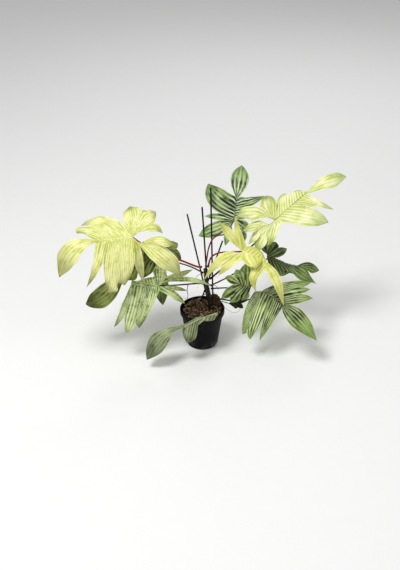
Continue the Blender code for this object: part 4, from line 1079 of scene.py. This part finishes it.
RED = ((86, 22, 16), (166, 62, 46), (128, 38, 28))
BLACK = ((16, 10, 9), (56, 34, 26), (44, 20, 16))
SAGE = ((46, 50, 30), (98, 104, 68), (74, 64, 42))
STALKS = {  # radius, colours and the points from the stem's side towards the joint, which ends the route
    "upper_left": (0.26, RED, [(0, 0.45, 23.6), (-1.5, 0, 24), (-5, -1, 26.2), (-13, -3.6, 31.4)]),
    "top": (
        0.2,
        RED,
        [(0.85, 0.6, 23.3), (1.2, 0.5, 26.5), (1.6, 0.2, 29.3), (2.4, 0, 31.8), (3.6, 0.8, 32.6), (4.6, 3.6, 31.3),
         (5.6, 7, 29.6), (7.2, 9.6, 30)],
    ),
    "rolled": (0.24, RED, [(1.45, 0, 23.8), (2.2, -1, 27.2), (4, -2.5, 29.5), (7.2, -4.8, 31.2)]),
    "upper_right": (
        0.24,
        BLACK,
        [(1.9, 0.85, 19.5), (4.9, 2.5, 21.4), (8.3, 4, 23.6), (13.5, 5.5, 27.4), (17.6, 6, 31.8)],
    ),
    "rear_right": (0.2, BLACK, [(2.05, 0.9, 17.4), (6.6, 4.2, 17.9), (9.4, 6.2, 18.5), (13.4, 8, 19.8)]),
    "low_middle": (0.2, BLACK, [(2.2, 0.4, 16.9), (7.1, 1.8, 16.2), (10.9, 2.8, 14.9)]),
    "lower_right": (
        0.22,
        BLACK,
        [(2.65, 0.2, 14.2), (5.5, 0.6, 13.3), (9, 0.5, 12.9), (12.2, -0.3, 13.8), (14.4, -1.4, 16)],
    ),
    "lower_left": (0.22, BLACK, [(0.35, 0.35, 18.4), (-0.8, 0, 18.8), (-5.8, -2, 19.6)]),
    "rear_left": (0.2, BLACK, [(0.3, 1, 21.4), (-3.3, 2.5, 22.5), (-7.5, 3.2, 23.6), (-9.8, 3.2, 24.6)]),
    "old": (0.16, SAGE, [(2.3, -0.8, 11.6), (3, -2.5, 13.2), (3.8, -4.6, 14)]),
    "small": (0.13, SAGE, [(2.95, 0.5, 12), (4.8, 1.2, 12.3)]),
}
STALK_RINGS, STALK_SIDES = 90, 20
KNEE_BACK, KNEE_LENGTH = 0.55, 0.5
SLOTS = {RED: "stalk_red", BLACK: "stalk_dark", SAGE: "stalk_green"}
skins = {
    colours: skin_finish(f"{slot} skin", *(srgb(*colour) for colour in colours), (120, 120, 120), 0.42, 0.0004)
    for colours, slot in SLOTS.items()
}

for name, (radius, colours, points) in STALKS.items():
    joint = np.array(LEAVES[name].joint, float)
    route = smooth_route([*points, joint], STALK_RINGS)
    steps = np.concatenate([[0], np.cumsum(np.linalg.norm(np.diff(route, axis=0), axis=1))])
    to_joint = steps[-1] - steps
    foot = np.exp(-((steps / (3 * radius)) ** 2))
    knee = np.exp(-(((to_joint - KNEE_BACK) / KNEE_LENGTH) ** 2))
    ends = np.sqrt(np.clip(np.minimum(steps, to_joint) / 0.12, 0.05, 1))
    radii = radius * (np.linspace(1.0, 0.8, STALK_RINGS) + 0.5 * foot + 0.22 * knee) * ends
    points, faces = rings(tubes(route[None], radii[None], STALK_SIDES, groove=0.25) * CM)
    mark = np.concatenate([np.repeat(0.5 * knee, STALK_SIDES), [0, 0.5]])
    piece(f"leafstalk_{name}", points, faces, [skins[colours]], [f"stalk_{name}"], {"ring": mark})


# ---------------------------------------------------------------------------------------------------------------
# The plant stands on a plain pale floor, in even light from broad lamps overhead, and is seen from in front and
# a little above.

FLOOR_HALF = 12.0
PLANT_MIDDLE = (0, 0, 0.25)
DAYLIGHT = 0.42
CAMERA_PLACE = (-0.00618, -1.99125, 1.45115)
CAMERA_PITCH = 32.5  # degrees below level
CAMERA_LENS = 56.45  # millimetres, on a 36 mm frame

points = np.array([[-1, -1, 0], [1, -1, 0], [1, 1, 0], [-1, 1, 0]]) * FLOOR_HALF
mesh = bpy.data.meshes.new("floor")
mesh.from_pydata(points.tolist(), [], [(0, 1, 2, 3)])
floor = bpy.data.objects.new("floor", mesh)
bpy.context.scene.collection.objects.link(floor)
paper = Finish("plain pale floor")
tooth = paper.place.noise(30, 2.0)
mesh.materials.append(paper.wire(tooth.blend((0.91, 0.91, 0.905), (0.93, 0.93, 0.925)), 0.85 + 0.05 * tooth))

LAMPS = {  # place, size and power in watts
    "key": ((-0.9, -0.9, 2.6), 0.9, 46),
    "fill": ((2.4, -1.2, 1.6), 1.6, 10),
    "back": ((0.6, 2.2, 2.0), 1.4, 12),
}
for name, (place, size, watts) in LAMPS.items():
    lamp = bpy.data.lights.new(name, "AREA")
    lamp.shape = "DISK"
    lamp.size = size
    lamp.energy = watts
    holder = bpy.data.objects.new(name, lamp)
    holder.location = place
    aim = np.array(PLANT_MIDDLE) - place
    holder.rotation_euler = (np.arctan2(np.hypot(aim[0], aim[1]), -aim[2]), 0, np.arctan2(-aim[0], aim[1]))
    bpy.context.scene.collection.objects.link(holder)

world = bpy.data.worlds.new("soft daylight")
world.use_nodes = True
sky = world.node_tree.nodes["Background"]
sky.inputs["Color"].default_value = (1.0, 1.0, 1.0, 1.0)
sky.inputs["Strength"].default_value = DAYLIGHT
bpy.context.scene.world = world
bpy.context.scene.view_settings.view_transform = "Standard"

lens = bpy.data.cameras.new("camera")
lens.lens = CAMERA_LENS
lens.sensor_width = 36.0
lens.clip_end = 60.0
camera = bpy.data.objects.new("camera", lens)
camera.location = CAMERA_PLACE
camera.rotation_euler = (np.radians(90 - CAMERA_PITCH), 0, 0)
bpy.context.scene.collection.objects.link(camera)
bpy.context.scene.camera = camera

bpy.context.view_layer.update()
